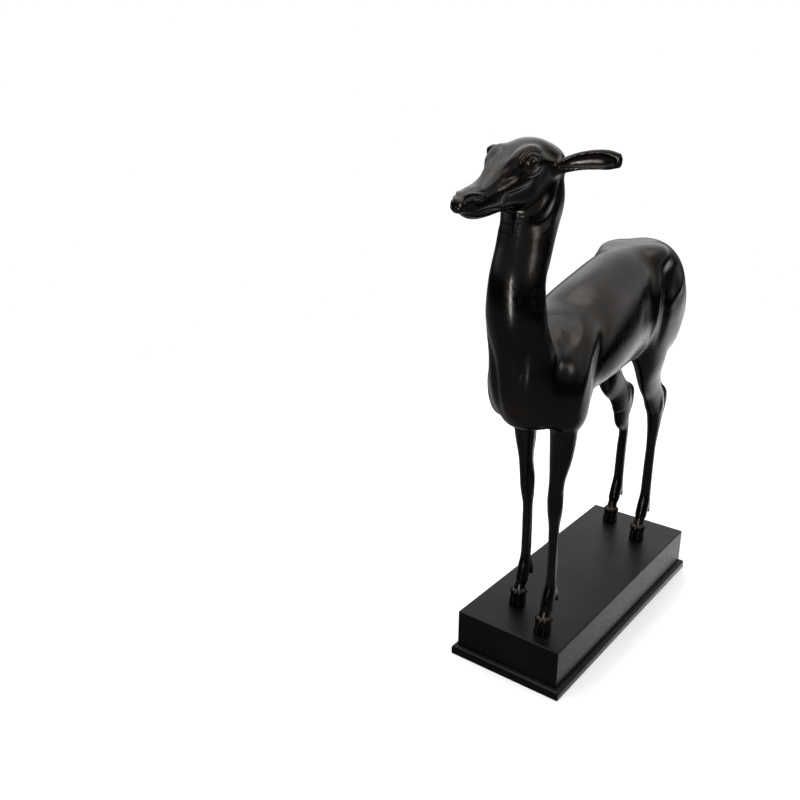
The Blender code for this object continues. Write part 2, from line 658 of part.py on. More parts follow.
def grid_values(field, low, cells, step, block):
    """Field values on the grid's corners, worked out only in blocks near the surface."""
    blocks = cells // block
    middle = [(np.arange(count) + 0.5) * block * step for count in blocks]
    centre = np.stack(np.meshgrid(*middle, indexing="ij"), -1).reshape(-1, 3) + low
    coarse = field(centre).reshape(blocks)
    near = np.pad(spread(np.abs(coarse) < block * step * 1.3, block), [(0, 1)] * 3)
    for axis in range(3):
        near |= np.roll(near, 1, axis)
    values = np.pad(spread(coarse, block), [(0, 1)] * 3, mode="edge")
    values[near] = field(np.argwhere(near) * step + low)
    return values


def spread(array, block):
    for axis in range(3):
        array = np.repeat(array, block, axis)
    return array


def net(field, low, high, step, block=4):
    """A closed surface net: its points and its quads."""
    low = np.asarray(low, float)
    cells = np.ceil((np.asarray(high) - low) / step / block).astype(int) * block
    values = grid_values(field, low, cells, step, block)
    fill_pinches(values)
    inside = values < 0
    corners = [(x, y, z) for x in (0, 1) for y in (0, 1) for z in (0, 1)]
    count = np.zeros(cells, np.int8)
    for x, y, z in corners:
        count += inside[x:x + cells[0], y:y + cells[1], z:z + cells[2]]
    active = (count > 0) & (count < 8)
    number = np.full(active.shape, -1)
    number[active] = np.arange(active.sum())
    cell = np.argwhere(active)
    points = cell_points(values, cell, corners) * step + low
    return points, net_quads(inside, number)


def fill_pinches(values, rounds=12):
    """Fill squares of the grid whose two diagonals lie on opposite sides of the surface."""
    for _ in range(rounds):
        changed = False
        for axis in range(3):
            first, second = [np.eye(3, dtype=int)[(axis + k) % 3] for k in (1, 2)]
            square = [values[shifted(corner, first + second)]
                      for corner in (0 * first, first, first + second, second)]
            a, b, c, d = [corner < 0 for corner in square]
            pinched = (a == c) & (b == d) & (a != b)
            for corner in square:
                corner[pinched] = np.minimum(corner[pinched], FILLED)
            changed |= pinched.any()
        if not changed:
            return


def shifted(corner, extent):
    """The part of a grid that starts at a corner and leaves room for the square's extent."""
    return tuple(slice(c, c - e if c < e else None) for c, e in zip(corner, extent))


def cell_points(values, cell, corners):
    """The mean of the places where the surface crosses the edges of each cell."""
    total, hits = np.zeros((len(cell), 3)), np.zeros((len(cell), 1))
    for axis in range(3):
        for corner in [c for c in corners if c[axis] == 0]:
            first = cell + corner
            second = first + np.eye(3, dtype=int)[axis]
            a, b = values[tuple(first.T)], values[tuple(second.T)]
            crossed = (a < 0) != (b < 0)
            point = first[crossed].astype(float)
            point[:, axis] += a[crossed] / (a[crossed] - b[crossed])
            total[crossed] += point
            hits[crossed] += 1
    return total / hits


def net_quads(inside, number):
    """One quad for each grid edge that the surface crosses, facing outwards."""
    faces = []
    for axis in range(3):
        u, v = (axis + 1) % 3, (axis + 2) % 3
        edge = np.argwhere(np.diff(inside.astype(np.int8), axis=axis) != 0)
        ring = []
        for du, dv in ((-1, -1), (0, -1), (0, 0), (-1, 0)):
            cell = edge.copy()
            cell[:, u] += du
            cell[:, v] += dv
            ring.append(number[tuple(cell.T)])
        quad = np.stack(ring, 1)
        outward = inside[tuple(edge.T)]
        quad[~outward] = quad[~outward][:, ::-1]
        faces.append(quad)
    return np.concatenate(faces)


def settle(field, p, rounds, most=2.0, reach=0.25):
    """Draw points onto the surface along the field's slope."""
    for _ in range(rounds):
        here = field(p)
        slope = np.stack([(field(p + shift) - here) / reach for shift in np.eye(3) * reach], 1)
        size = np.maximum((slope**2).sum(1, keepdims=True), 0.05)
        move = -here[:, None] * slope / size
        length = np.linalg.norm(move, axis=1, keepdims=True)
        p = p + move * np.minimum(1, most / np.maximum(length, 1e-9))
    return p


def to_metres(points):
    """Figure thousandths to metres above the plinth."""
    return points * FIGURE_HEIGHT / 1000 + np.array([0, 0, PLINTH_HEIGHT + SEAT_GAP])


def bronze():
    material = bpy.data.materials.new("bronze")
    material.use_nodes = True
    shader = material.node_tree.nodes["Principled BSDF"]
    shader.inputs["Base Color"].default_value = (0.020, 0.017, 0.015, 1.0)
    shader.inputs["Metallic"].default_value = 0.85
    shader.inputs["Roughness"].default_value = 0.36
    return material


def add_object(name, points, faces, material):
    mesh = bpy.data.meshes.new(name)
    mesh.from_pydata(np.asarray(points).tolist(), [], np.asarray(faces).tolist())
    mesh.materials.append(material)
    mesh.update()
    part = bpy.data.objects.new(name, mesh)
    bpy.context.collection.objects.link(part)
    return part


def add_deer(material):
    """The whole cast doe, thinned to a few thousand triangles."""
    field = field_of(doe())
    points, quads = net(field, NET_LOW, NET_HIGH, NET_STEP)
    points = settle(field, points, 3)
    points[:, 2] = np.maximum(points[:, 2], 0.0)
    deer = add_object("deer", to_metres(points), quads, material)
    thin = deer.modifiers.new("thin", "DECIMATE")
    thin.ratio = SKIN_TRIANGLES / (2 * len(quads))
    return deer


def rings_to_faces(count, side=4):
    """Faces between stacked rings of four corners, with both ends closed."""
    faces = [tuple(range(side))[::-1]]
    for level in range(count - 1):
        base = level * side
        for k in range(side):
            after = (k + 1) % side
            faces.append((base + k, base + after, base + side + after, base + side + k))
    faces.append(tuple((count - 1) * side + k for k in range(side)))
    return faces


def add_plinth(material):
    """A block with softened edges, rising from a wider rim with a sloping top."""
    half_x, half_y = PLINTH_WIDTH / 2, PLINTH_LENGTH / 2
    fascia_top = RIM_HEIGHT - RIM_SLOPE
    levels = [
        (RIM_PROJECTION, 0.0),
        (RIM_PROJECTION, fascia_top - PLINTH_EDGE),
        (RIM_PROJECTION - PLINTH_EDGE, fascia_top),
        (PLINTH_EDGE * 1.5, RIM_HEIGHT - PLINTH_EDGE),
        (0.0, RIM_HEIGHT),
        (0.0, PLINTH_HEIGHT - PLINTH_EDGE),
        (-PLINTH_EDGE, PLINTH_HEIGHT),
    ]
    points = []
    for out, z in levels:
        x, y = half_x + out, half_y + out
        points += [(-x, -y, z), (x, -y, z), (x, y, z), (-x, y, z)]
    plinth = add_object("plinth", points, [(0, 1, 2)], material)
    mesh = plinth.data
    mesh.clear_geometry()
    mesh.from_pydata(points, [], rings_to_faces(len(levels)))
    work = bmesh.new()
    work.from_mesh(mesh)
    bmesh.ops.recalc_face_normals(work, faces=work.faces)
    work.to_mesh(mesh)
    work.free()
    return plinth


def main():
    for old in list(bpy.data.objects):
        bpy.data.objects.remove(old, do_unlink=True)
    material = bronze()
    add_plinth(material)
    add_deer(material)


main()
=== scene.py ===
"""The bronze doe on its plinth: fine skins, patina, studio light, floor and camera.

The figure is modelled in thousandths of its height with z measured from the top of the plinth,
as one field of swept limbs, ellipsoids, hollows and marks. A net laid over that field gives the
skin. Everything else is in metres in the frame's axes: the doe faces -Y and its left is +X.
"""
import math

import bmesh
import bpy
import numpy as np
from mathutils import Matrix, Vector


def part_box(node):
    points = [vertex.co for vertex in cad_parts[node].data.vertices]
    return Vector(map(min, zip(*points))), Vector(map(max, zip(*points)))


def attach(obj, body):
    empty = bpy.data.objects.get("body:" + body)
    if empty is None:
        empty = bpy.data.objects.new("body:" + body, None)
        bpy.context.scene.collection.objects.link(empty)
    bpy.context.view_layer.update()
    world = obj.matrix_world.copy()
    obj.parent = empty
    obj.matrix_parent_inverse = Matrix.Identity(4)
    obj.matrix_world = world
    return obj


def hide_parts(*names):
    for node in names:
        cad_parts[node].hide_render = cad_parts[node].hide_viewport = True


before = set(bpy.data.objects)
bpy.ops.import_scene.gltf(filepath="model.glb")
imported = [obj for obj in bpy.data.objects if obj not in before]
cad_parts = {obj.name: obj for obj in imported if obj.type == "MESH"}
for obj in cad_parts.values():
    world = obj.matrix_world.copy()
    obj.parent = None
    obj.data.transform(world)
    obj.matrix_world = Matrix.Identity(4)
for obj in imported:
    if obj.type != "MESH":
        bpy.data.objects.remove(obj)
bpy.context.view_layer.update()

# The camera, from the plinth's corners in the 800 x 800 photograph
PHOTO_SIZE = 800
FOCAL_PIXELS = 868.1
SENSOR = 36.0
CAMERA_AT = (0.7926, -1.6979, 1.1901)
CAMERA_YAW = math.radians(-38.32)
CAMERA_PITCH = math.radians(-19.78)

# Sizes that the frame gives
DEER_LOW, DEER_HIGH = (np.array(corner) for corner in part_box("deer"))
PLINTH_LOW, PLINTH_HIGH = (np.array(corner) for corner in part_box("plinth"))
SEAT_GAP = 0.0003
PLINTH_HEIGHT = float(PLINTH_HIGH[2])
FIGURE_HEIGHT = 1.000
LIFT = np.array([0, 0, PLINTH_HEIGHT + SEAT_GAP])

# Plinth profile in metres
RIM_HEIGHT = 0.0234
RIM_PROJECTION = 0.0103
RIM_SLOPE = 0.0065
MOULDING_RISE = 0.0056
WALL_EDGE = 0.0024
CORNER_RADIUS = 0.0022
CORNER_STEPS = 6

# The skin's net, in thousandths of the figure's height
NET_STEP = 3.5
NET_LOW = (-180.0, -560.0, -16.0)
NET_HIGH = (180.0, 380.0, 1032.0)

# Field values far from the skin and just inside it
FAR = 1000.0
FILLED = -0.05

# Side of the boxes that the field is worked in, and the number of points worked at once
BOX = 48.0
BATCH = 40000

# Tufts of hair round each coronet
FRINGE_TUFTS = 9

# Patinas: the dark ground, the browner drifts, roughness and fineness of the grain
DEER_PATINA = ((0.021, 0.0205, 0.020), (0.034, 0.028, 0.024), 0.22, 90.0)
PLINTH_PATINA = ((0.012, 0.012, 0.0135), (0.021, 0.0195, 0.0185), 0.38, 140.0)

# Brightness of the room that the bronze mirrors, and the ways in which its lighter sides lie
DARK_SIDE = 0.015
BAND_BEHIND = 0.10
UPPER_FRONT = 0.38
UPPER_BEHIND = 1.25
LOWER_FRONT = 0.25
LOWER_RIGHT = 1.4
BACK_WAY = (-0.4226, 0.9063)
RIGHT_WAY = (0.156, 0.988)

# The white background that is seen, and the floor with the distances over which it fades out
BACKDROP = 1.0
BACKDROP_RADIUS = 12.0
FLOOR_RADIUS = 4.2
FLOOR_SIDES = 96
FLOOR_MIDDLE = (0.25, 0.9, 0.0)
FLOOR_FADE = (1.5, 2.7)

# Where the legs stand: x and y of each cannon bone, and the side, +1 left and -1 right
FORE_LEFT = (60.5, -262, 1)
FORE_RIGHT = (-37.5, -200, -1)
HIND_LEFT = (45, 221, 1)
HIND_RIGHT = (-51, 269, -1)

# How much fuller the body's masses are than their own measures
FULLER = 2.0

# The head's own frame: it is nodded down and turned to the figure's right
HEAD_AT = (-3.5, -313.0, 949.5)
HEAD_NOD = 12.5
HEAD_TURN = -10.0


def rotation(about_x, about_y, about_z):
    a, b, c = np.radians([about_x, about_y, about_z])
    turn_x = np.array([[1, 0, 0], [0, np.cos(a), -np.sin(a)], [0, np.sin(a), np.cos(a)]])
    turn_y = np.array([[np.cos(b), 0, np.sin(b)], [0, 1, 0], [-np.sin(b), 0, np.cos(b)]])
    turn_z = np.array([[np.cos(c), -np.sin(c), 0], [np.sin(c), np.cos(c), 0], [0, 0, 1]])
    return turn_z @ turn_y @ turn_x


def unit(vectors):
    return vectors / np.maximum(np.linalg.norm(vectors, axis=-1, keepdims=True), 1e-12)


def smooth_path(stations, spacing):
    """Cubic curve through rows of numbers whose first three columns are the position."""
    rows = np.asarray(stations, float)
    chord = np.maximum(np.linalg.norm(np.diff(rows[:, :3], axis=0), axis=1), 1e-6)
    knot = np.concatenate([[0.0], np.cumsum(chord)])
    slope = np.diff(rows, axis=0) / chord[:, None]
    tangent = np.empty_like(rows)
    tangent[0], tangent[-1] = slope[0], slope[-1]
    before, after = chord[:-1, None], chord[1:, None]
    tangent[1:-1] = (slope[:-1] * after + slope[1:] * before) / (before + after)
    count = max(int(np.ceil(knot[-1] / spacing)), 8)
    along = np.linspace(0.0, knot[-1], count + 1)
    i = np.clip(np.searchsorted(knot, along, side="right") - 1, 0, len(chord) - 1)
    width = chord[i][:, None]
    t = (along - knot[i])[:, None] / width
    return ((2 * t**3 - 3 * t**2 + 1) * rows[i] + (t**3 - 2 * t**2 + t) * width * tangent[i]
            + (3 * t**2 - 2 * t**3) * rows[i + 1] + (t**3 - t**2) * width * tangent[i + 1])


def nearest_row(rows, p):
    """Index of the row of positions that is nearest to each point."""
    size = (rows**2).sum(1)[None]
    i = np.empty(len(p), int)
    for start in range(0, len(p), BATCH):
        q = p[start:start + BATCH]
        i[start:start + BATCH] = (size - 2 * q @ rows.T).argmin(1)
    return i


class Limb:
    """A swept body. Stations: x, y, z, half width, half depth above, half depth below.

    The width runs along the side axis and "above" is the cross product of the path's
    direction and the side axis. Blend is the radius of the join with the rest.
    """

    def __init__(self, stations, blend, power=2.0, lean=0.0, side=(1, 0, 0), spacing=4.0):
        rows = smooth_path(stations, spacing)
        centre = rows[:, :3]
        along = unit(np.gradient(centre, axis=0))
        across = np.tile(np.asarray(side, float), (len(rows), 1))
        across = unit(across - (across * along).sum(1, keepdims=True) * along)
        above = np.cross(along, across)
        self.table = np.concatenate([centre, along, across, above, rows[:, 3:6]], 1)
        self.blend, self.power, self.lean = blend, power, lean
        margin = rows[:, 3:6].max() + blend + 5
        self.low, self.high = centre.min(0) - margin, centre.max(0) + margin

    def swell(self, amount):
        self.table[:, 12:15] += amount

    def row_at(self, i):
        j = np.clip(i.astype(int), 0, len(self.table) - 2)
        f = (i - j)[:, None]
        return self.table[j] * (1 - f) + self.table[j + 1] * f

    def nearest(self, p):
        """Place along the path, in rows, where the path runs square to the point."""
        last = len(self.table) - 1
        i = nearest_row(self.table[:, :3], p)
        here = self.ahead(p, i)
        way = np.where(here > 0, 1, -1)
        there = self.ahead(p, np.clip(i + way, 0, last))
        share = here / np.where(here == there, 1e9, here - there)
        return np.clip(i + way * np.clip(share, 0, 1), 0, last)

    def ahead(self, p, i):
        row = self.table[i]
        return ((p - row[:, :3]) * row[:, 3:6]).sum(1)

    def value(self, p):
        i = self.nearest(p)
        row = self.row_at(i)
        off = p - row[:, :3]
        along = (off * row[:, 3:6]).sum(1)
        across = (off * row[:, 6:9]).sum(1)
        above = (off * row[:, 9:12]).sum(1)
        depth = np.where(above > 0, row[:, 13], row[:, 14])
        width = row[:, 12] * (1 + self.lean * np.clip(above / depth, -1.2, 1.2))
        past_end = np.where((i <= 0) | (i >= len(self.table) - 1), along, 0.0)
        ring = (np.abs(across / width)**self.power + np.abs(above / depth)**self.power)
        least = np.minimum(width, depth)
        share = np.sqrt(ring**(2 / self.power) + (past_end / least)**2)
        size = np.sqrt(across**2 + above**2 + past_end**2)
        share = np.maximum(share, 1e-3)
        return np.where(share < 0.15, -least * (1 - share), size * (1 - 1 / share))

    def work(self, value, p):
        return join(value, self.value(p), self.blend)


class Ball:
    """An ellipsoid with three half axes, turned by angles about x, y and z in degrees."""

    def __init__(self, centre, half, blend, turn=(0, 0, 0)):
        self.centre, self.half = np.asarray(centre, float), np.asarray(half, float)
        self.turn = rotation(*turn)
        self.blend = blend
        margin = self.half.max() + blend + 5
        self.low, self.high = self.centre - margin, self.centre + margin

    def swell(self, amount):
        self.half = self.half + amount

    def value(self, p):
        q = (p - self.centre) @ self.turn
        share = np.maximum(np.sqrt(((q / self.half)**2).sum(1)), 1e-3)
        size = np.sqrt((q**2).sum(1))
        return np.where(share < 0.15, -self.half.min() * (1 - share), size * (1 - 1 / share))

    def work(self, value, p):
        return join(value, self.value(p), self.blend)


class Hollow:
    """Takes the form of a limb or ball away, with a rounded edge."""

    def __init__(self, part):
        self.part, self.low, self.high = part, part.low, part.high

    def work(self, value, p):
        return cut(value, self.part.value(p), self.part.blend)


class Flat:
    """A level face that trims what hangs below a height, between two places along y."""

    def __init__(self, height, first, last, blend):
        self.height, self.first, self.last, self.blend = height, first, last, blend
        reach = 2 * blend
        self.low = np.array([-FAR, first - reach, height - 60])
        self.high = np.array([FAR, last + reach, height + 3 * blend])

    def work(self, value, p):
        outside = np.maximum(np.maximum(self.first - p[:, 1], p[:, 1] - self.last), 0)
        return cut(value, np.maximum(p[:, 2] - self.height, outside - 4), self.blend)


class Mark:
    """A groove or, with a negative depth, a ridge. Stations: x, y, z, half width, depth."""

    def __init__(self, stations):
        rows = np.asarray(stations, float)
        self.rows = smooth_path(rows, max(rows[:, 3].min() / 2, 0.6))
        margin = 2.6 * rows[:, 3].max()
        self.low, self.high = self.rows[:, :3].min(0) - margin, self.rows[:, :3].max(0) + margin

    def work(self, value, p):
        start, step = self.rows[:-1, :3], np.diff(self.rows[:, :3], axis=0)
        size = (step**2).sum(1)
        i = nearest_row(start + step / 2, p)
        f = np.clip(((p - start[i]) * step[i]).sum(1) / size[i], 0, 1)
        row = self.rows[i] * (1 - f[:, None]) + self.rows[i + 1] * f[:, None]
        away = ((p - row[:, :3])**2).sum(1) / row[:, 3]**2
        return value + row[:, 4] * np.exp(-away)


class Eye:
    """An eyeball in an almond opening between two lids that stand a little proud of it."""

    def __init__(self, centre, out, corner_line, radius, lid, upper, lower, inset):
        self.centre, self.radius, self.lid, self.inset = centre, radius, lid, inset
        line = unit(corner_line - (corner_line @ out) * out)
        above = unit(np.cross(out, line))
        above *= np.sign(above[2])
        a, b = np.radians([upper, lower])
        self.out = out
        self.upper = np.cos(a) * above - np.sin(a) * out
        self.lower = -np.cos(b) * above - np.sin(b) * out
        margin = radius + lid + 12
        self.low, self.high = centre - margin, centre + margin

    def work(self, value, p):
        off = p - self.centre
        away = np.sqrt((off**2).sum(1))
        edge = off - self.inset * self.radius * self.out
        slit = -join(-(edge @ self.upper), -(edge @ self.lower), 1.5)
        value = join(value, away - self.radius - self.lid, 7)
        value = cut(value, np.maximum(slit, away - self.radius - 2.5 * self.lid), 1.2)
        return join(value, away - self.radius, 0.6)


def join(a, b, radius):
    """Union of two fields with a rounded join."""
    share = np.maximum(radius - np.abs(a - b), 0) / radius
    return np.minimum(a, b) - share**3 * radius / 6


def cut(a, b, radius):
    """Field a with field b taken away."""
    return -join(-a, b, radius)


def trunk():
    return [Limb([
        (0, 266, 641, 66, 78, 80),
        (1, 234, 646, 88, 105, 94),
        (-1, 170, 645, 93, 111, 112),
        (-3, 90, 632, 92, 119, 132),
        (-2, 10, 608, 97, 125, 115),
        (0, -70, 584, 104, 127, 83),
        (1, -150, 566, 105, 118, 61),
        (1, -225, 560, 92, 106, 77),
        (4, -280, 556, 76, 84, 106),
        (3, -308, 550, 62, 70, 96),
    ], blend=30, power=2.15)] + [Ball((s * 45, 158, 724), (34, 52, 28), blend=40) for s in (1, -1)]


def neck():
    return [Limb([
        (-7, -294, 945, 42, 33, 59),
        (-7, -300, 900, 46, 49, 78),
        (-8, -311, 858, 46, 55, 73),
        (-6, -325, 807, 48.5, 55, 51),
        (-4, -338, 750, 53, 62, 18),
        (-2, -337, 690, 59, 65, 6),
        (0, -324, 630, 63, 62, 30),
        (2, -312, 575, 66, 65, 60),
        (5, -304, 525, 60, 60, 60),
        (9, -298, 490, 49, 48, 56),
    ], blend=30)]


def shoulder(x, y, s):
    """Blade from the withers to the point of the shoulder, then the upper arm."""
    return [
        Limb([
            (4 + s * 40, -168, 640, 14, 24, 28),
            (4 + s * 64, -200, 612, 18, 36, 40),
            (4 + s * 72, -238, 566, 22, 46, 35),
            (0.6 * (x + s * 16) + s * 26, 0.6 * y - 90, 520, 24, 48, 22),
            (x + s * 12, y + 2, 474, 21, 32, 8),
        ], blend=34),
        Ball((4 + s * 62, -264, 522), (38, 52, 84), blend=50, turn=(10, 0, 0)),
    ]


def fore_leg(x, y, s, spread, upper):
    """One path from the elbow down to the hoof; spread sets the elbow out from the hoof."""
    return [Limb([
        (x + s * (spread - 16), y + 34, 590, 18, 28, 15),
        (x + s * (spread + 1), y + 2, 510, 21, 33, 9),
        (x + s * spread, y - 3, 460, 21.5 + upper, 28, 14.5),
        (x + s * spread * 0.75, y - 5, 400, 18 + upper, 21, 16),
        (x + s * spread * 0.35, y - 8, 345, 14.2, 16, 13),
        (x + s * 1.5, y - 8, 305, 14.2 - upper / 3, 17, 14),
        (x + s * 1, y - 6, 278, 13.2 - upper / 3, 15.5, 13),
        (x, y - 2, 245, 10 - upper / 6, 11.5, 10.5),
        (x, y, 200, 8.6 - upper / 6, 10, 11),
        (x, y + 1, 150, 8.6 - upper / 6, 10, 11.5),
        (x, y - 1, 105, 9.2, 10, 12.5),
        (x, y - 6, 80, 11.5, 12, 15),
        (x, y - 12, 58, 11.5, 11.5, 12.5),
    ], blend=16)]


def hind_leg(x, y, s, back, reach, thigh, drop):
    """Thigh, gaskin, hock and cannon; back sets the hock behind the hoof.

    Reach swings the gaskin forward, thigh is the half height of the thigh's mass and
    drop lowers the hock.
    """
    hock = y + back
    return [
        Ball((s * 54, 208, 708 - thigh), (40, 105, thigh), blend=30, turn=(-4, 0, 0)),
        Limb([
            (x * 0.4 + s * 33, hock - 96 - reach / 2, 590, 34, 80 - reach / 4, 70 - reach),
            (x * 0.6 + s * 25, hock - 96 - 0.8 * reach, 545, 34, 81 - 0.7 * reach, 74 - 1.6 * reach),
            (x + s * 10, hock - 86 - reach, 500 - drop / 2, 29 - 0.3 * reach, 61 - 0.9 * reach,
             60 - 1.8 * reach),
            (x + s * 5, hock - 61 - reach / 2, 450 - drop, 20, 49 + reach / 8, 33 - reach / 2),
            (x + s * 2, hock - 32, 412 - drop, 16.5, 42 + 0.3 * reach, 19),
            (x, hock - 7, 380 - drop, 17, 43 + 0.3 * reach, 25),
            (x, hock + 5, 352 - drop, 16.5, 37 + 0.5 * reach, 22),
            (x, hock + 7, 315 - drop, 13.5, 26 + 0.4 * reach, 17),
            (x, y + 37, 260 - drop / 3, 9.8, 14.5, 13),
            (x, y + 36, 200, 9.2, 14, 13),
            (x, y + 34, 140, 9.8, 14, 14),
            (x, y + 31, 110, 10.5, 13, 15),
            (x, y + 24, 85, 12, 13.5, 15),
            (x, y + 16, 62, 12, 12, 12.5),
        ], blend=20),
        Limb([
            (x + s * 7, hock - 50 - reach, 510 - drop / 2, 8, 14, 8),
            (x + s * 3, hock - 10 - 1.1 * reach, 450 - drop, 6.5, 36, 6),
            (x + s * 1, hock + 9 - 0.2 * reach, 405 - drop, 7.5, 32, 8),
            (x, hock + 33, 379 - drop, 11, 26, 11),
            (x, hock + 36, 352 - drop, 10, 18, 11),
            (x, hock + 24, 310 - drop, 7, 9, 9),
        ], blend=9),
    ]


def foot(x, y, s):
    """Pastern, a fringe over the coronet, two claws and two dewclaws.

    y is the middle of the hoof's ground print.
    """
    parts = [Limb([
        (x, y + 17, 64, 11, 11, 12),
        (x, y + 11, 50, 11.5, 11, 11),
        (x, y + 6, 38, 12.5, 12, 12),
        (x, y + 3, 24, 14, 13.5, 13),
    ], blend=6)]
    for turn in np.arange(FRINGE_TUFTS) * 360.0 / FRINGE_TUFTS:
        out = rotation(0, 0, turn) @ np.array([0, -1, 0])
        parts.append(Ball((x, y + 4, 33) + 14.8 * out, (4.8, 3.6, 7.0), blend=2.5, turn=(-30, 0, turn)))
    for claw in (1, -1):
        parts.append(Limb([
            (x + claw * 6.8, y + 5, 32, 8, 12, 11),
            (x + claw * 7.6, y + 3, 18, 8.4, 14.5, 13),
            (x + claw * 8.6, y + 1, -8, 9.3, 17, 16),
        ], blend=4, power=2.5))
        parts.append(Limb([
            (x + claw * 5, y + 32, 98, 5.5, 5.5, 5.5),
            (x + claw * 6.5, y + 37, 84, 6, 6, 6),
            (x + claw * 7.5, y + 40, 66, 5, 5, 5),
        ], blend=9))
    return parts


def head_turn():
    return rotation(0, 0, HEAD_TURN) @ rotation(HEAD_NOD, 0, 0)


def on_head(points):
    """Rows given in the head's own frame, carried to the figure's frame."""
    rows = np.array(points, float)
    rows[..., :3] = rows[..., :3] @ head_turn().T + HEAD_AT
    return rows


def off_head(points):
    """Points of the figure in the head's own frame."""
    return (points - HEAD_AT) @ head_turn()


def head():
    turn = head_turn()
    parts = [Limb(on_head([
        (0, 58, -8, 24, 10, 30),
        (0, 38, 3, 36, 24, 54),
        (0, 4, 8, 43.5, 43, 74),
        (0, -35, 7, 43, 45.5, 72),
        (0, -75, 3, 36, 34.5, 58),
        (0, -110, -5, 28, 24, 41.5),
        (0, -140, -9, 25.5, 20.5, 34.5),
        (0, -163, -9, 24.5, 19, 29.5),
        (0, -179, -8, 21.5, 15, 22),
        (0, -189, -8, 14, 10, 13),
    ]), blend=14, side=turn[:, 0], power=2.2, lean=0.12)]
    for s in (1, -1):
        socket = on_head([(s * 30, -48, 26)])[0]
        parts.append(Ball(socket, (16, 32, 22), blend=18, turn=(HEAD_NOD, 0, HEAD_TURN)))
    return parts


def eye(s):
    """Looks outwards, a little forward and up."""
    turn = head_turn()
    centre = on_head([(s * 38.2, -50, 26)])[0]
    out = unit(turn @ np.array([s * 0.95, -0.30, 0.08]))
    corner_line = turn @ np.array([-s * 0.3, -0.93, -0.24])
    return Eye(centre, out, corner_line, radius=13.8, lid=2.4, upper=70, lower=62, inset=0.40)


def ear(s):
    """A thin-walled ear held out sideways, hollow on its front; the right one points more forward."""
    turn = head_turn()
    back, rise = (1.0, 0.0) if s > 0 else (0.58, 4.0)

    def along(rows):
        return [(s * x, 8 + (y - 8) * back, z + rise * (x - 32) / 100, *size) for x, y, z, *size in rows]

    shell = Limb(on_head(along([
        (32, 8, -2, 13, 12, 12),
        (56, 23, 3, 13.5, 8.5, 8.5),
        (80, 35, 7.5, 15.5, 7.5, 7.5),
        (104, 47, 8, 17, 7.5, 7),
        (124, 56, 6, 16.5, 7, 6),
        (138, 62, 4, 12.5, 6, 5),
    ])), blend=12, power=2.3, side=turn[:, 2])
    hollow = Limb(on_head(along([
        (53, 13, 4, 3.5, 3.5, 3.5),
        (64, 19, 5.5, 7.5, 7, 7),
        (80, 26, 7.5, 11, 9, 9),
        (102, 37, 8, 12.5, 9.5, 9.5),
        (122, 47, 6, 11.5, 8, 8),
        (132, 52, 5, 7, 5, 5),
    ])), blend=3, side=turn[:, 2])
    return [shell, Hollow(hollow)]


def nostril(s):
    return [Hollow(Limb(on_head([
        (s * 9, -188, -4, 2.6, 2.6, 2.6),
        (s * 14, -184, 2, 3.4, 3.4, 3.4),
        (s * 20, -176, 5, 3.2, 3.2, 3.2),
        (s * 25, -167, 3, 2.0, 2.0, 2.0),
        (s * 27, -161, 0, 1.2, 1.2, 1.2),
    ]), blend=2.0, spacing=2.0))]


def tail():
    return [Limb([
        (-2, 302, 690, 17, 14, 14),
        (-2, 322, 668, 16, 10, 10),
        (-2, 330, 636, 13, 9, 9),
        (-2, 328, 612, 7, 5, 5),
    ], blend=12)]


def body_forms():
    """The doe's masses, before anything is carved into them."""
    barrel = trunk() + neck() + shoulder(*FORE_LEFT) + shoulder(*FORE_RIGHT)
    limbs = fore_leg(*FORE_LEFT, 9, 3.5) + fore_leg(*FORE_RIGHT, 16, 3.5)
    limbs += hind_leg(*HIND_LEFT, 34, 0, 108, 3) + hind_leg(*HIND_RIGHT, 16, 23, 90, 25)
    limbs += tail() + head()
    for part in barrel + limbs:
        part.swell(FULLER)
    feet = []
    for x, y, s in (FORE_LEFT, FORE_RIGHT):
        feet += foot(x, y - 26, s)
    for x, y, s in (HIND_LEFT, HIND_RIGHT):
        feet += foot(x, y, s)
    return barrel + [Flat(460, -420, -205, blend=30)] + limbs + feet + [ear(s)[0] for s in (1, -1)]


def sided(s, marks):
    """Marks that are given for the left side, carried to one side."""
    return [[(s * x, *rest) for x, *rest in mark] for mark in marks]


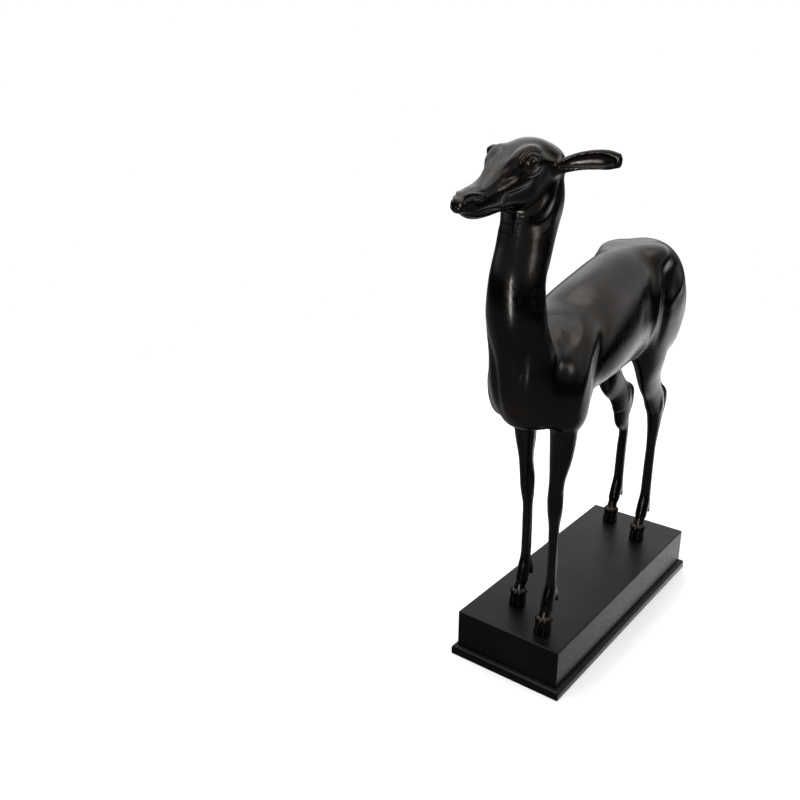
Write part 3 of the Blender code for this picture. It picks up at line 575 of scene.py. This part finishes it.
def muscles(s):
    """Soft hollows and ridges of one side of the trunk. Rows: x, y, z, half width, depth."""
    return sided(s, [
        [(60, -286, 664, 20, 0), (70, -304, 620, 20, 2), (74, -312, 570, 20, 3),
         (74, -300, 510, 18, 0)],
        [(62, -165, 652, 14, 0), (84, -205, 632, 13, -3), (98, -244, 599, 12, -4),
         (104, -272, 562, 12, -4), (100, -284, 520, 12, -2), (92, -278, 480, 12, 0)],
        [(72, -130, 652, 14, 0), (90, -172, 622, 14, 3), (98, -206, 586, 14, 5),
         (100, -228, 548, 13, 5), (96, -238, 508, 12, 3), (88, -236, 476, 12, 0)],
        [(60, 96, 722, 16, 0), (72, 82, 694, 14, 3), (80, 66, 660, 13, 4), (82, 62, 620, 13, 4),
         (78, 54, 575, 12, 0)],
        [(58, 128, 728, 10, 0), (73, 113, 700, 9, -3), (83, 97, 668, 9, -5), (84, 94, 623, 9, -6),
         (81, 85, 577, 9, -5), (71, 68, 543, 10, 0)],
        [(70, 162, 722, 18, 3), (82, 148, 690, 19, 9), (88, 138, 650, 19, 10), (88, 134, 610, 17, 7),
         (84, 128, 560, 15, 3), (78, 118, 530, 14, 0)],
        [(52, 176, 742, 18, -2), (62, 150, 732, 18, -4)],
        [(84, 184, 706, 17, 4), (88, 172, 668, 17, 6), (89, 168, 630, 15, 0)],
        [(87, 214, 690, 13, 0), (89, 196, 664, 12, -4), (88, 168, 642, 11, -3), (86, 146, 622, 10, 0)],
        [(78, 262, 668, 17, 0), (74, 268, 620, 16, 5), (66, 262, 560, 15, 5), (60, 250, 510, 12, 0)],
        [(88, 10, 670, 36, 0), (88, 36, 640, 34, 5), (84, 52, 600, 30, 0)],
        [(40, -330, 800, 12, 0), (46, -322, 740, 14, 3), (56, -318, 680, 16, 3),
         (64, -312, 630, 15, 0)],
        [(44, -368, 690, 12, 0), (38, -374, 640, 10, 4), (30, -376, 595, 9, 6), (24, -374, 550, 9, 6),
         (24, -366, 510, 9, 5), (28, -350, 482, 10, 0)],
    ])


def middle_lines():
    """The hollow of the breastbone, the spine and the cleft under the tail."""
    return [
        [(0, -384, 640, 12, 0), (2, -388, 580, 12, 3), (4, -384, 520, 12, 3), (5, -372, 478, 10, 0)],
        [(2, -200, 674, 12, 0), (1, -60, 694, 14, -2), (0, 40, 734, 14, 0)],
        [(-2, 330, 600, 10, 3), (-2, 322, 560, 12, 7), (-2, 300, 510, 12, 5)],
    ]


def eye_arcs(s):
    """Folds that run over and under the eye, as arcs about its centre, in the head's own frame."""
    marks = []
    for reach, width, depth, first, last in (
            (16.8, 1.5, -1.2, 200, -35), (19.4, 1.4, 1.6, 196, -25), (22.4, 1.8, -1.3, 188, -20),
            (25.4, 1.6, 1.4, 180, -12), (29.0, 2.2, -1.8, 174, -4), (32.5, 2.0, 1.2, 168, 8),
            (16.8, 1.4, -1.2, 215, 335), (19.4, 1.4, 1.4, 225, 325), (23.0, 2.2, -1.0, 230, 310),
            (27.0, 2.2, 0.9, 236, 300)):
        marks.append([])
        for k, turn in enumerate(np.radians(np.linspace(first, last, 9))):
            share = np.sin(np.pi * k / 8) ** 0.5
            marks[-1].append((s * 44, -50 + 1.08 * reach * np.cos(turn), 26 + 0.92 * reach * np.sin(turn),
                              width, depth * share))
    return marks


def face_marks(s):
    """Carving of one side of the head, in the head's own frame."""
    return eye_arcs(s) + sided(s, [
        [(10, -130, 8, 5, 0), (13, -108, 18, 5, -1.4), (18, -90, 31, 5, -2.8), (26, -76, 41, 5, -3.8),
         (32, -58, 49, 6, -3.2), (37, -34, 48, 6, -2.6), (41, -14, 38, 6, 0)],
        [(46, -70, 20, 2.6, 2.6), (42, -76, 17, 3.0, 3.0), (37, -85, 14, 5, 2.6),
         (30, -98, 11, 6, 2.0), (27, -114, 8, 7, 0)],
        [(46, -50, -4, 9, 0), (43, -64, -4, 9, -2.4), (36, -84, -5, 9, -3), (29, -108, -7, 8, -1.6),
         (28, -122, -7, 8, 0)],
        [(43, -42, -18, 12, 0), (40, -60, -22, 12, 3.0), (35, -82, -22, 10, 3.8),
         (29, -104, -20, 9, 2.0), (28, -116, -18, 8, 0)],
        [(31, -96, 16, 8, 0), (26, -118, 5, 8, 2.2), (25, -142, 2, 7, 1.2), (26, -156, 6, 5, 0)],
        [(44, -16, 36, 8, 2), (45, -2, 28, 8, 4), (43, 14, 14, 8, 2), (42, 20, 8, 8, 0)],
        [(32, 36, -20, 9, 0), (40, 24, -38, 9, 3.4), (42, 6, -62, 9, 4.4), (37, -22, -82, 9, 3.6),
         (28, -48, -90, 8, 1.6), (20, -66, -86, 8, 0)],
        [(43, 4, -20, 16, 0), (44, -8, -38, 15, -2.6), (40, -28, -56, 14, -3.2),
         (33, -52, -62, 12, -2), (28, -76, -55, 11, 0)],
        [(10, -182, 11, 3.4, -1.2), (20, -175, 12.5, 2.8, -2.4), (27, -166, 9, 2.8, -2.4),
         (31, -157, 2, 3, -1.4), (30, -152, -6, 4, 0)],
        [(19, -164, 16, 3.5, 0), (26, -156, 12, 3, 1.6), (31, -149, 4, 3, 1.8), (31, -146, -5, 4, 0)],
        [(26, -174, -3, 3, 0), (30, -165, -4, 3, -1.6), (31, -156, -2, 3, 0)],
        [(17, -187, -18, 6, -1.5), (26, -170, -18, 6, -2.4), (28, -148, -20, 6, -2.2),
         (26, -128, -24, 6, -1.2), (25, -114, -28, 6, 0)],
        [(22, -112, -33, 4, 0), (25, -107, -28, 3, 2.0), (29, -104, -18, 4, 1.6), (30, -101, -8, 5, 0)],
    ])


def muzzle_marks():
    """The mouth line, the cleft of the lip, the nose pad's edge and the brow's hollow."""
    side = [(20, -108, -37, 2.2, 0.5), (21, -120, -34, 2.0, 2.2), (22, -136, -29.5, 1.9, 2.8),
            (22, -152, -28, 1.9, 3.0), (20, -170, -27, 1.9, 3.0), (11, -184, -26, 1.9, 2.8),
            (0, -190, -26, 1.9, 2.8)]
    other = [(-x, *rest) for x, *rest in side[-2::-1]]
    return [
        side + other,
        [(0, -192, 0, 2.2, 0), (0, -193, -9, 2.0, 1.6), (0, -191, -22, 1.8, 1.2)],
        [(0, -168, 14, 9, 0), (0, -182, 8, 8, -1.0), (0, -190, -4, 9, -1.5)],
        [(0, -100, 20, 11, 0), (0, -76, 37, 13, 1.2), (0, -50, 47, 15, 1.0), (0, -24, 52, 15, 0)],
    ]


def leg_marks(x, y, s, hind, hock):
    """Tendons and joints of one leg. Rows: x, y, z, half width, depth."""
    marks = []
    rear = 36 if hind else 0
    for side in (1, -1):
        marks.append([(x + side * 8, y + rear + 4, 262, 4, 0), (x + side * 8, y + rear + 4, 230, 3.4, 2.0),
                      (x + side * 8, y + rear + 4, 150, 3.4, 2.2), (x + side * 9, y + rear + 3, 112, 4, 0)])
        marks.append([(x + side * 10, y + rear - 6, 240, 5, 0), (x + side * 9, y + rear - 7, 180, 4, -1.0),
                      (x + side * 9, y + rear - 8, 120, 5, 0)])
    if hind:
        for side in (1, -1):
            marks.append([(x + s * 6 + side * 20, hock - 38, 505, 9, 0),
                          (x + s * 3 + side * 16, hock - 16, 455, 8, 5),
                          (x + side * 14, hock + 6, 412, 7, 5), (x + side * 13, hock + 20, 384, 6, 3),
                          (x + side * 12, hock + 22, 350, 6, 2), (x + side * 10, hock + 14, 318, 6, 0)])
            marks.append([(x + side * 15, hock - 12, 386, 8, 0), (x + side * 15, hock - 4, 362, 7, -2.5),
                          (x + side * 12, hock - 2, 330, 7, 0)])
    else:
        for side in (1, -1):
            marks.append([(x + side * 17, y + 4, 440, 6, 0), (x + side * 15, y - 2, 400, 5, 2.5),
                          (x + side * 13, y - 2, 350, 5, 2.5), (x + side * 12, y, 322, 5, 0)])
            marks.append([(x + side * 13, y - 6, 322, 6, 0), (x + side * 14, y - 8, 302, 6, -2.5),
                          (x + side * 12, y - 4, 276, 6, -1.5), (x + side * 9, y, 252, 5, 0)])
    return marks


def carved(forms):
    """All parts in the order they are worked: the masses, then what is carved into them."""
    plain = field_of(forms)
    marks = middle_lines()
    for s in (1, -1):
        marks += muscles(s)
        marks += [on_head(rows) for rows in face_marks(s)]
    marks += [on_head(rows) for rows in muzzle_marks()]
    for x, y, s in (FORE_LEFT, FORE_RIGHT):
        marks += leg_marks(x, y, s, False, 0)
    marks += leg_marks(*HIND_LEFT, True, HIND_LEFT[1] + 34)
    marks += leg_marks(*HIND_RIGHT, True, HIND_RIGHT[1] + 16)
    parts = forms + [Mark(rows) for rows in laid_on(plain, marks)]
    for s in (1, -1):
        parts += [eye(s)] + ear(s)[1:] + nostril(s)
    return parts


def laid_on(field, marks):
    """The marks' stations moved onto the surface, all at once."""
    rows = np.concatenate([np.asarray(mark, float) for mark in marks])
    rows[:, :3] = settle(field, rows[:, :3], 4, most=6.0, reach=1.0)
    ends = np.cumsum([len(mark) for mark in marks])[:-1]
    return np.split(rows, ends)


def field_of(parts):
    """The joined field, cut flat at the soles. Points are worked in boxes of one size."""
    lows, highs = np.array([part.low for part in parts]), np.array([part.high for part in parts])

    def worked(p):
        value = np.full(len(p), FAR)
        for i in np.flatnonzero(((highs >= p.min(0)) & (lows <= p.max(0))).all(1)):
            near = ((p >= lows[i]) & (p <= highs[i])).all(1)
            if near.any():
                value[near] = parts[i].work(value[near], p[near])
        return value

    def field(p):
        value = np.empty(len(p))
        key = np.floor(p / BOX).astype(int) @ np.array([1, 1000, 1000000])
        order = np.argsort(key, kind="stable")
        for group in np.split(order, np.flatnonzero(np.diff(key[order])) + 1):
            value[group] = worked(p[group])
        return cut(value, p[:, 2], 2.0)
    return field


def grid_values(field, low, cells, step, block):
    """Field values on the grid's corners, worked out only in blocks near the surface."""
    blocks = cells // block
    middle = [(np.arange(count) + 0.5) * block * step for count in blocks]
    centre = np.stack(np.meshgrid(*middle, indexing="ij"), -1).reshape(-1, 3) + low
    coarse = field(centre).reshape(blocks)
    near = np.pad(spread(np.abs(coarse) < block * step * 1.3, block), [(0, 1)] * 3)
    for axis in range(3):
        near |= np.roll(near, 1, axis)
    values = np.pad(spread(coarse, block), [(0, 1)] * 3, mode="edge")
    values[near] = field(np.argwhere(near) * step + low)
    return values


def spread(array, block):
    for axis in range(3):
        array = np.repeat(array, block, axis)
    return array


def net(field, low, high, step, block=4):
    """A closed surface net: its points and its quads."""
    low = np.asarray(low, float)
    cells = np.ceil((np.asarray(high) - low) / step / block).astype(int) * block
    values = grid_values(field, low, cells, step, block)
    fill_pinches(values)
    inside = values < 0
    corners = [(x, y, z) for x in (0, 1) for y in (0, 1) for z in (0, 1)]
    count = np.zeros(cells, np.int8)
    for x, y, z in corners:
        count += inside[x:x + cells[0], y:y + cells[1], z:z + cells[2]]
    active = (count > 0) & (count < 8)
    number = np.full(active.shape, -1)
    number[active] = np.arange(active.sum())
    cell = np.argwhere(active)
    points = cell_points(values, cell, corners) * step + low
    return points, net_quads(inside, number)


def fill_pinches(values, rounds=12):
    """Fill squares of the grid whose two diagonals lie on opposite sides of the surface."""
    for _ in range(rounds):
        changed = False
        for axis in range(3):
            first, second = [np.eye(3, dtype=int)[(axis + k) % 3] for k in (1, 2)]
            square = [values[shifted(corner, first + second)]
                      for corner in (0 * first, first, first + second, second)]
            a, b, c, d = [corner < 0 for corner in square]
            pinched = (a == c) & (b == d) & (a != b)
            for corner in square:
                corner[pinched] = np.minimum(corner[pinched], FILLED)
            changed |= pinched.any()
        if not changed:
            return


def shifted(corner, extent):
    """The part of a grid that starts at a corner and leaves room for the square's extent."""
    return tuple(slice(c, c - e if c < e else None) for c, e in zip(corner, extent))


def cell_points(values, cell, corners):
    """The mean of the places where the surface crosses the edges of each cell."""
    total, hits = np.zeros((len(cell), 3)), np.zeros((len(cell), 1))
    for axis in range(3):
        for corner in [c for c in corners if c[axis] == 0]:
            first = cell + corner
            second = first + np.eye(3, dtype=int)[axis]
            a, b = values[tuple(first.T)], values[tuple(second.T)]
            crossed = (a < 0) != (b < 0)
            point = first[crossed].astype(float)
            point[:, axis] += a[crossed] / (a[crossed] - b[crossed])
            total[crossed] += point
            hits[crossed] += 1
    return total / hits


def net_quads(inside, number):
    """One quad for each grid edge that the surface crosses, facing outwards."""
    faces = []
    for axis in range(3):
        u, v = (axis + 1) % 3, (axis + 2) % 3
        edge = np.argwhere(np.diff(inside.astype(np.int8), axis=axis) != 0)
        ring = []
        for du, dv in ((-1, -1), (0, -1), (0, 0), (-1, 0)):
            cell = edge.copy()
            cell[:, u] += du
            cell[:, v] += dv
            ring.append(number[tuple(cell.T)])
        quad = np.stack(ring, 1)
        outward = inside[tuple(edge.T)]
        quad[~outward] = quad[~outward][:, ::-1]
        faces.append(quad)
    return np.concatenate(faces)


def settle(field, p, rounds, most=2.0, reach=0.25):
    """Draw points onto the surface along the field's slope."""
    for _ in range(rounds):
        here = field(p)
        slope = np.stack([(field(p + shift) - here) / reach for shift in np.eye(3) * reach], 1)
        size = np.maximum((slope**2).sum(1, keepdims=True), 0.05)
        move = -here[:, None] * slope / size
        length = np.linalg.norm(move, axis=1, keepdims=True)
        p = p + move * np.minimum(1, most / np.maximum(length, 1e-9))
    return p


def to_metres(points):
    """Figure thousandths to metres above the plinth."""
    return points * FIGURE_HEIGHT / 1000 + LIFT


def to_thousandths(points):
    """The other way round."""
    return (points - LIFT) / (FIGURE_HEIGHT / 1000)


def throat_folds():
    """Creases of skin round the top of the neck, lower in front and rising to the jaw's corners."""
    folds = []
    for z, first, last, rise, depth in (
            (877, -120, 10, 16, 0.6), (869, -135, 20, 14, 0.8), (861, -120, 5, 11, 0.7),
            (853, -150, 15, 9, 0.8), (845, -110, -10, 6, 0.6), (837, -140, 0, 4, 0.5)):
        folds.append([])
        for k, turn in enumerate(np.radians(np.linspace(first, last, 13))):
            share = (k - 6) / 6
            wave = 0.8 * math.sin(2.3 * k + z)
            folds[-1].append((-8 + 46 * math.cos(turn), -311 + 60 * math.sin(turn),
                              z + rise * share**2 + wave, 1.6, depth * (1 - share**2)))
    return folds


def neck_tufts(s):
    """Locks of hair that fan out where the neck meets the shoulder."""
    locks = []
    for k in range(7):
        for gap, depth in ((0.0, -1.1), (3.0, 0.9)):
            a = 5.2 * k + gap
            locks.append([(s * (16 + 0.55 * a), -262 - 1.5 * a, 694 - 0.5 * a, 1.7, 0),
                          (s * (30 + 0.6 * a), -256 - 1.6 * a, 676 - 0.7 * a, 1.8, depth),
                          (s * (44 + 0.62 * a), -258 - 1.6 * a, 654 - 0.9 * a, 1.8, depth),
                          (s * (54 + 0.6 * a), -268 - 1.5 * a, 630 - 1.0 * a, 1.7, 0)])
    return locks


def finely_carved():
    """The doe with the creases and locks that are too fine for its cast solid."""
    forms = body_forms()
    marks = throat_folds() + neck_tufts(1) + neck_tufts(-1)
    return carved(forms) + [Mark(rows) for rows in laid_on(field_of(forms), marks)]


def coarse_part(points):
    """Where the skin is smooth enough for cells of twice the step."""
    return ~((points[:, 2] < 430) | head_zone(points) | tuft_zone(points))


def head_zone(points):
    """The head and the top of the neck, with the creases of the throat."""
    return (points[:, 2] > 800) & (points[:, 1] < -180)


def tuft_zone(points):
    """The locks of hair at both sides of the neck's base."""
    x, y, z = points.T
    return (z > 580) & (z < 705) & (y > -345) & (y < -235) & (np.abs(x) > 8)


def clustered(points, quads, step):
    """Merges the net's cells two by two by two wherever the skin is smooth."""
    cell = np.floor((points - NET_LOW) / (2 * step)).astype(int)
    middle = (cell + 0.5) * 2 * step + NET_LOW
    coarse = coarse_part(middle)
    key = cell @ np.array([1, 4096, 4096 * 4096])
    key[~coarse] = -1 - np.arange((~coarse).sum())
    _, group = np.unique(key, return_inverse=True)
    count = np.bincount(group)
    merged = np.stack([np.bincount(group, points[:, k]) / count for k in range(3)], 1)
    faces = []
    for quad in group[quads].tolist():
        ring = [a for k, a in enumerate(quad) if a != quad[k - 1]]
        if len(set(ring)) == len(ring) and len(ring) >= 3:
            faces.append(tuple(ring))
    return merged, faces


def refined(mesh, wanted):
    """Splits the faces whose middle is wanted into four, keeping the skin closed."""
    work = bmesh.new()
    work.from_mesh(mesh)
    middles = np.array([face.calc_center_median()[:] for face in work.faces])
    chosen = wanted(to_thousandths(middles))
    edges = [edge for edge in work.edges if any(chosen[face.index] for face in edge.link_faces)]
    bmesh.ops.subdivide_edges(work, edges=edges, cuts=1, use_grid_fill=True)
    work.to_mesh(mesh)
    work.free()


def face_zone(points):
    """The face from the brow to the nose, down to the cheeks."""
    on_face = off_head(points)
    front = (on_face[:, 1] < -20) & (on_face[:, 1] > -200) & (np.abs(on_face[:, 0]) < 62)
    return front & (on_face[:, 2] > -50) & (on_face[:, 2] < 60)


def eye_zone(points):
    """Both eyes with their lids, and the nostrils."""
    on_face = off_head(points)
    away = on_face - np.array([0, -50, 26])
    eyes = (np.abs(away[:, 1]) < 20) & (np.abs(away[:, 2]) < 20) & (np.abs(on_face[:, 0]) > 28)
    nose = (on_face[:, 1] < -150) & (np.abs(on_face[:, 0]) > 5) & (np.abs(on_face[:, 2] - 2) < 13)
    return eyes | nose


def hoof_zone(points):
    """The hooves and the fringe over them."""
    return points[:, 2] < 46


def ear_zone(points):
    """Both ears, clear of the coarser body below."""
    on_face = off_head(points)
    return (np.abs(on_face[:, 0]) > 50) & (points[:, 2] > 860)


def set_points(mesh, points):
    mesh.vertices.foreach_set("co", np.ascontiguousarray(points, dtype=np.float32).ravel())
    mesh.update()


def get_points(mesh):
    flat = np.empty(len(mesh.vertices) * 3, np.float32)
    mesh.vertices.foreach_get("co", flat)
    return flat.reshape(-1, 3).astype(float)


def add_object(name, data):
    """A new object of the scene that carries the data."""
    made = bpy.data.objects.new(name, data)
    bpy.context.scene.collection.objects.link(made)
    return made


def add_mesh(name, points, faces):
    mesh = bpy.data.meshes.new(name)
    mesh.from_pydata(np.asarray(points).tolist(), [], [tuple(face) for face in faces])
    mesh.update()
    return add_object(name, mesh)


def add_doe():
    """The cast skin, finest on the face and the hooves."""
    field = field_of(finely_carved())
    points, quads = net(field, NET_LOW, NET_HIGH, NET_STEP)
    points, faces = clustered(points, quads, NET_STEP)
    piece = add_mesh("doe_skin", to_metres(points), faces)
    mesh = piece.data
    refined(mesh, lambda p: face_zone(p) | hoof_zone(p) | ear_zone(p))
    refined(mesh, eye_zone)
    points = settle(field, to_thousandths(get_points(mesh)), 3)
    points[:, 2] = np.maximum(points[:, 2], 0.0)
    set_points(mesh, to_metres(points))
    mesh.shade_smooth()
    triangles = sum(len(face.vertices) - 2 for face in mesh.polygons)
    print("doe skin", len(mesh.vertices), "points", triangles, "triangles")
    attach(piece, "root")
    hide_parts("deer")
    return piece


def plinth_profile():
    """Out from the wall's plane and height, from the underside to the top."""
    fascia = RIM_HEIGHT - RIM_SLOPE
    rows = [(RIM_PROJECTION - 0.0008, 0.0), (RIM_PROJECTION - 0.0002, 0.0006), (RIM_PROJECTION, 0.004),
            (RIM_PROJECTION, fascia - 0.004), (RIM_PROJECTION - 0.0002, fascia - 0.0022)]
    for k in range(9):
        turn = math.pi / 2 * k / 8
        rows.append((0.0024 + (RIM_PROJECTION - 0.0028) * math.cos(turn),
                     fascia - 0.0018 + MOULDING_RISE * math.sin(turn)))
    rows += [(0.0012, fascia + 0.0032), (0.0004, fascia + 0.0036), (0.0, fascia + 0.0052),
             (0.0, RIM_HEIGHT + 0.002), (0.0, PLINTH_HEIGHT - WALL_EDGE - 0.004)]
    for k in range(7):
        turn = math.pi / 2 * k / 6
        rows.append((WALL_EDGE * (math.cos(turn) - 1), PLINTH_HEIGHT - WALL_EDGE * (1 - math.sin(turn))))
    rows.append((-WALL_EDGE - 0.004, PLINTH_HEIGHT))
    return rows


def add_plinth():
    """The block and its rim as one casting: a profile led around a rectangle with softened corners."""
    half = (PLINTH_HIGH - PLINTH_LOW)[:2] / 2 - RIM_PROJECTION
    rows = plinth_profile()
    points = []
    for out, z in rows:
        points += [(x, y, z) for x, y in rectangle(*(half + out))]
    ring = len(points) // len(rows)
    faces = []
    for level in range(len(rows) - 1):
        base = level * ring
        for k in range(ring):
            after = (k + 1) % ring
            faces.append((base + k, base + after, base + ring + after, base + ring + k))
    faces.append(tuple(range(ring))[::-1])
    faces.append(tuple((len(rows) - 1) * ring + k for k in range(ring)))
    piece = add_mesh("plinth_cast", points, faces)
    piece.data.shade_smooth()
    piece.data.set_sharp_from_angle(angle=math.radians(40))
    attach(piece, "root")
    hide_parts("plinth")
    return piece


def rectangle(half_x, half_y):
    """A ring of points around a rectangle with rounded corners, counter-clockwise."""
    ring = []
    for turn, (sx, sy) in enumerate([(1, 1), (-1, 1), (-1, -1), (1, -1)]):
        for k in range(CORNER_STEPS + 1):
            angle = math.pi / 2 * (turn + k / CORNER_STEPS)
            ring.append((sx * (half_x - CORNER_RADIUS) + CORNER_RADIUS * math.cos(angle),
                         sy * (half_y - CORNER_RADIUS) + CORNER_RADIUS * math.sin(angle)))
    return ring


def new_material(name):
    material = bpy.data.materials.new(name)
    material.use_nodes = True
    return material, material.node_tree


def node(tree, kind, **values):
    made = tree.nodes.new(kind)
    for name, value in values.items():
        setattr(made, name, value)
    return made


def noise(tree, place, scale, detail):
    texture = node(tree, "ShaderNodeTexNoise")
    texture.inputs["Scale"].default_value = scale
    texture.inputs["Detail"].default_value = detail
    tree.links.new(place.outputs["Object"], texture.inputs["Vector"])
    return texture


def bronze(name, base, brown, rough, grain):
    """Near-black patina over bronze, with browner drifts and a fine brush grain in the gloss."""
    material, tree = new_material(name)
    shader = tree.nodes["Principled BSDF"]
    shader.inputs["Metallic"].default_value = 1.0
    place = node(tree, "ShaderNodeTexCoord")
    drift = noise(tree, place, 7.0, 5.0)
    drift.inputs["Roughness"].default_value = 0.55
    fine = noise(tree, place, grain, 4.0)
    colour = node(tree, "ShaderNodeValToRGB")
    for stop, share, tone in zip(colour.color_ramp.elements, (0.40, 0.72), (base, brown)):
        stop.position = share
        stop.color = (*tone, 1)
    tree.links.new(drift.outputs["Fac"], colour.inputs["Fac"])
    tree.links.new(colour.outputs["Color"], shader.inputs["Base Color"])
    gloss = node(tree, "ShaderNodeMapRange")
    set_range(gloss, 0.3, 0.7, rough - 0.05, rough + 0.07)
    tree.links.new(fine.outputs["Fac"], gloss.inputs["Value"])
    tree.links.new(gloss.outputs["Result"], shader.inputs["Roughness"])
    bump = node(tree, "ShaderNodeBump")
    bump.inputs["Strength"].default_value = 0.12
    bump.inputs["Distance"].default_value = 0.0006
    tree.links.new(fine.outputs["Fac"], bump.inputs["Height"])
    tree.links.new(bump.outputs["Normal"], shader.inputs["Normal"])
    return material


def add_floor():
    """A pale floor that fades out well outside the object."""
    turns = [2 * math.pi * k / FLOOR_SIDES for k in range(FLOOR_SIDES)]
    points = [(FLOOR_RADIUS * math.cos(turn), FLOOR_RADIUS * math.sin(turn), 0.0) for turn in turns]
    floor = add_mesh("floor", points, [tuple(range(FLOOR_SIDES))])
    material, tree = new_material("floor_white")
    shader = tree.nodes["Principled BSDF"]
    shader.inputs["Base Color"].default_value = (0.90, 0.90, 0.90, 1)
    shader.inputs["Roughness"].default_value = 0.9
    shader.inputs["Specular IOR Level"].default_value = 0.1
    place = node(tree, "ShaderNodeTexCoord")
    length = node(tree, "ShaderNodeVectorMath", operation="DISTANCE")
    length.inputs[1].default_value = FLOOR_MIDDLE
    fade = node(tree, "ShaderNodeMapRange", interpolation_type="SMOOTHSTEP")
    set_range(fade, *FLOOR_FADE, 1.0, 0.0)
    tree.links.new(place.outputs["Object"], length.inputs[0])
    tree.links.new(length.outputs["Value"], fade.inputs["Value"])
    tree.links.new(fade.outputs["Result"], shader.inputs["Alpha"])
    floor.data.materials.append(material)
    floor.visible_glossy = False


def add_backdrop():
    """A plain white dome, seen directly but not mirrored by the bronze."""
    work = bmesh.new()
    bmesh.ops.create_icosphere(work, subdivisions=4, radius=BACKDROP_RADIUS)
    bmesh.ops.reverse_faces(work, faces=work.faces)
    mesh = bpy.data.meshes.new("backdrop")
    work.to_mesh(mesh)
    work.free()
    dome = add_object("backdrop", mesh)
    material, tree = new_material("backdrop_white")
    glow = node(tree, "ShaderNodeEmission")
    glow.inputs["Strength"].default_value = BACKDROP
    tree.links.new(glow.outputs["Emission"], tree.nodes["Material Output"].inputs["Surface"])
    mesh.materials.append(material)
    dome.visible_diffuse = dome.visible_glossy = dome.visible_shadow = False
    dome.visible_transmission = dome.visible_volume_scatter = False


def add_surroundings():
    """The room that the bronze mirrors: light above and behind, a dark band at eye height,
    and a floor that is bright on the right and dim elsewhere."""
    world = bpy.data.worlds.new("studio")
    bpy.context.scene.world = world
    world.use_nodes = True
    tree = world.node_tree
    background = tree.nodes["Background"]
    background.inputs["Color"].default_value = (1, 1, 1, 1)
    place = node(tree, "ShaderNodeTexCoord")
    level = node(tree, "ShaderNodeVectorMath", operation="MULTIPLY")
    level.inputs[1].default_value = (1, 1, 0)
    way = node(tree, "ShaderNodeVectorMath", operation="NORMALIZE")
    height = node(tree, "ShaderNodeSeparateXYZ")
    tree.links.new(place.outputs["Generated"], level.inputs[0])
    tree.links.new(level.outputs["Vector"], way.inputs[0])
    tree.links.new(place.outputs["Generated"], height.inputs[0])
    band = brightness(tree, way, BACK_WAY, (0.60, 0.95), (DARK_SIDE, BAND_BEHIND))
    upper = brightness(tree, way, BACK_WAY, (-0.3, 0.5), (UPPER_FRONT, UPPER_BEHIND))
    lower = brightness(tree, way, RIGHT_WAY, (0.75, 0.97), (LOWER_FRONT, LOWER_RIGHT))
    light = blend(tree, height, (0.02, 0.30), band, upper)
    light = blend(tree, height, (-0.12, -0.32), light, lower)
    tree.links.new(light, background.inputs["Strength"])


def brightness(tree, way, middle, reach, levels):
    """A level that depends on how near a direction lies to the middle one."""
    towards = node(tree, "ShaderNodeVectorMath", operation="DOT_PRODUCT")
    towards.inputs[1].default_value = (*middle, 0.0)
    tree.links.new(way.outputs["Vector"], towards.inputs[0])
    step = node(tree, "ShaderNodeMapRange", interpolation_type="SMOOTHSTEP")
    set_range(step, *reach, *levels)
    tree.links.new(towards.outputs["Value"], step.inputs["Value"])
    return step.outputs["Result"]


def blend(tree, height, limits, first, second):
    """The first level, turning into the second between two heights of the direction."""
    share = node(tree, "ShaderNodeMapRange", interpolation_type="SMOOTHSTEP")
    set_range(share, *limits, 0.0, 1.0)
    tree.links.new(height.outputs["Z"], share.inputs["Value"])
    mixed = node(tree, "ShaderNodeMix", data_type="FLOAT")
    tree.links.new(share.outputs["Result"], mixed.inputs["Factor"])
    tree.links.new(first, mixed.inputs["A"])
    tree.links.new(second, mixed.inputs["B"])
    return mixed.outputs["Result"]


def set_range(place, low, high, first, last):
    place.inputs["From Min"].default_value = low
    place.inputs["From Max"].default_value = high
    place.inputs["To Min"].default_value = first
    place.inputs["To Max"].default_value = last


def add_light(name, at, aim, size, power, spread=120):
    data = bpy.data.lights.new(name, "AREA")
    data.shape = "RECTANGLE"
    data.size, data.size_y = size
    data.energy = power
    data.spread = math.radians(spread)
    light = add_object(name, data)
    light.location = at
    light.rotation_euler = aimed(Vector(aim) - Vector(at))


def aimed(way):
    """The turn of a lamp that shines along a direction."""
    return way.to_track_quat("-Z", "Y").to_euler()


def add_lights():
    """A tall strip that lights the neck's front, a small panel at the side and soft light from above."""
    add_light("neck_strip", (0.33, -1.85, 0.82), (0, -0.33, 0.86), (0.08, 0.9), 5.5)
    add_light("side_panel", (1.6, -0.35, 1.50), (0, -0.35, 0.95), (0.6, 0.5), 1.8)

    soft = bpy.data.lights.new("overhead", "SUN")
    soft.energy = 2.6
    soft.angle = math.radians(75)
    add_object("overhead", soft).rotation_euler = aimed(Vector((0.15, 0.10, -1.0)))


def add_camera():
    data = bpy.data.cameras.new("camera")
    data.sensor_fit = "HORIZONTAL"
    data.sensor_width = SENSOR
    data.lens = FOCAL_PIXELS / PHOTO_SIZE * SENSOR
    data.clip_end = 50
    camera = add_object("camera", data)
    camera.location = CAMERA_AT
    camera.rotation_euler = (math.pi / 2 + CAMERA_PITCH, 0, -CAMERA_YAW)
    bpy.context.scene.camera = camera


def main():
    bpy.context.scene.view_settings.view_transform = "Standard"
    add_camera()
    add_surroundings()
    add_lights()
    add_floor()
    add_backdrop()
    deer = add_doe()
    plinth = add_plinth()
    deer.data.materials.append(bronze("deer_patina", *DEER_PATINA))
    plinth.data.materials.append(bronze("plinth_patina", *PLINTH_PATINA))


main()
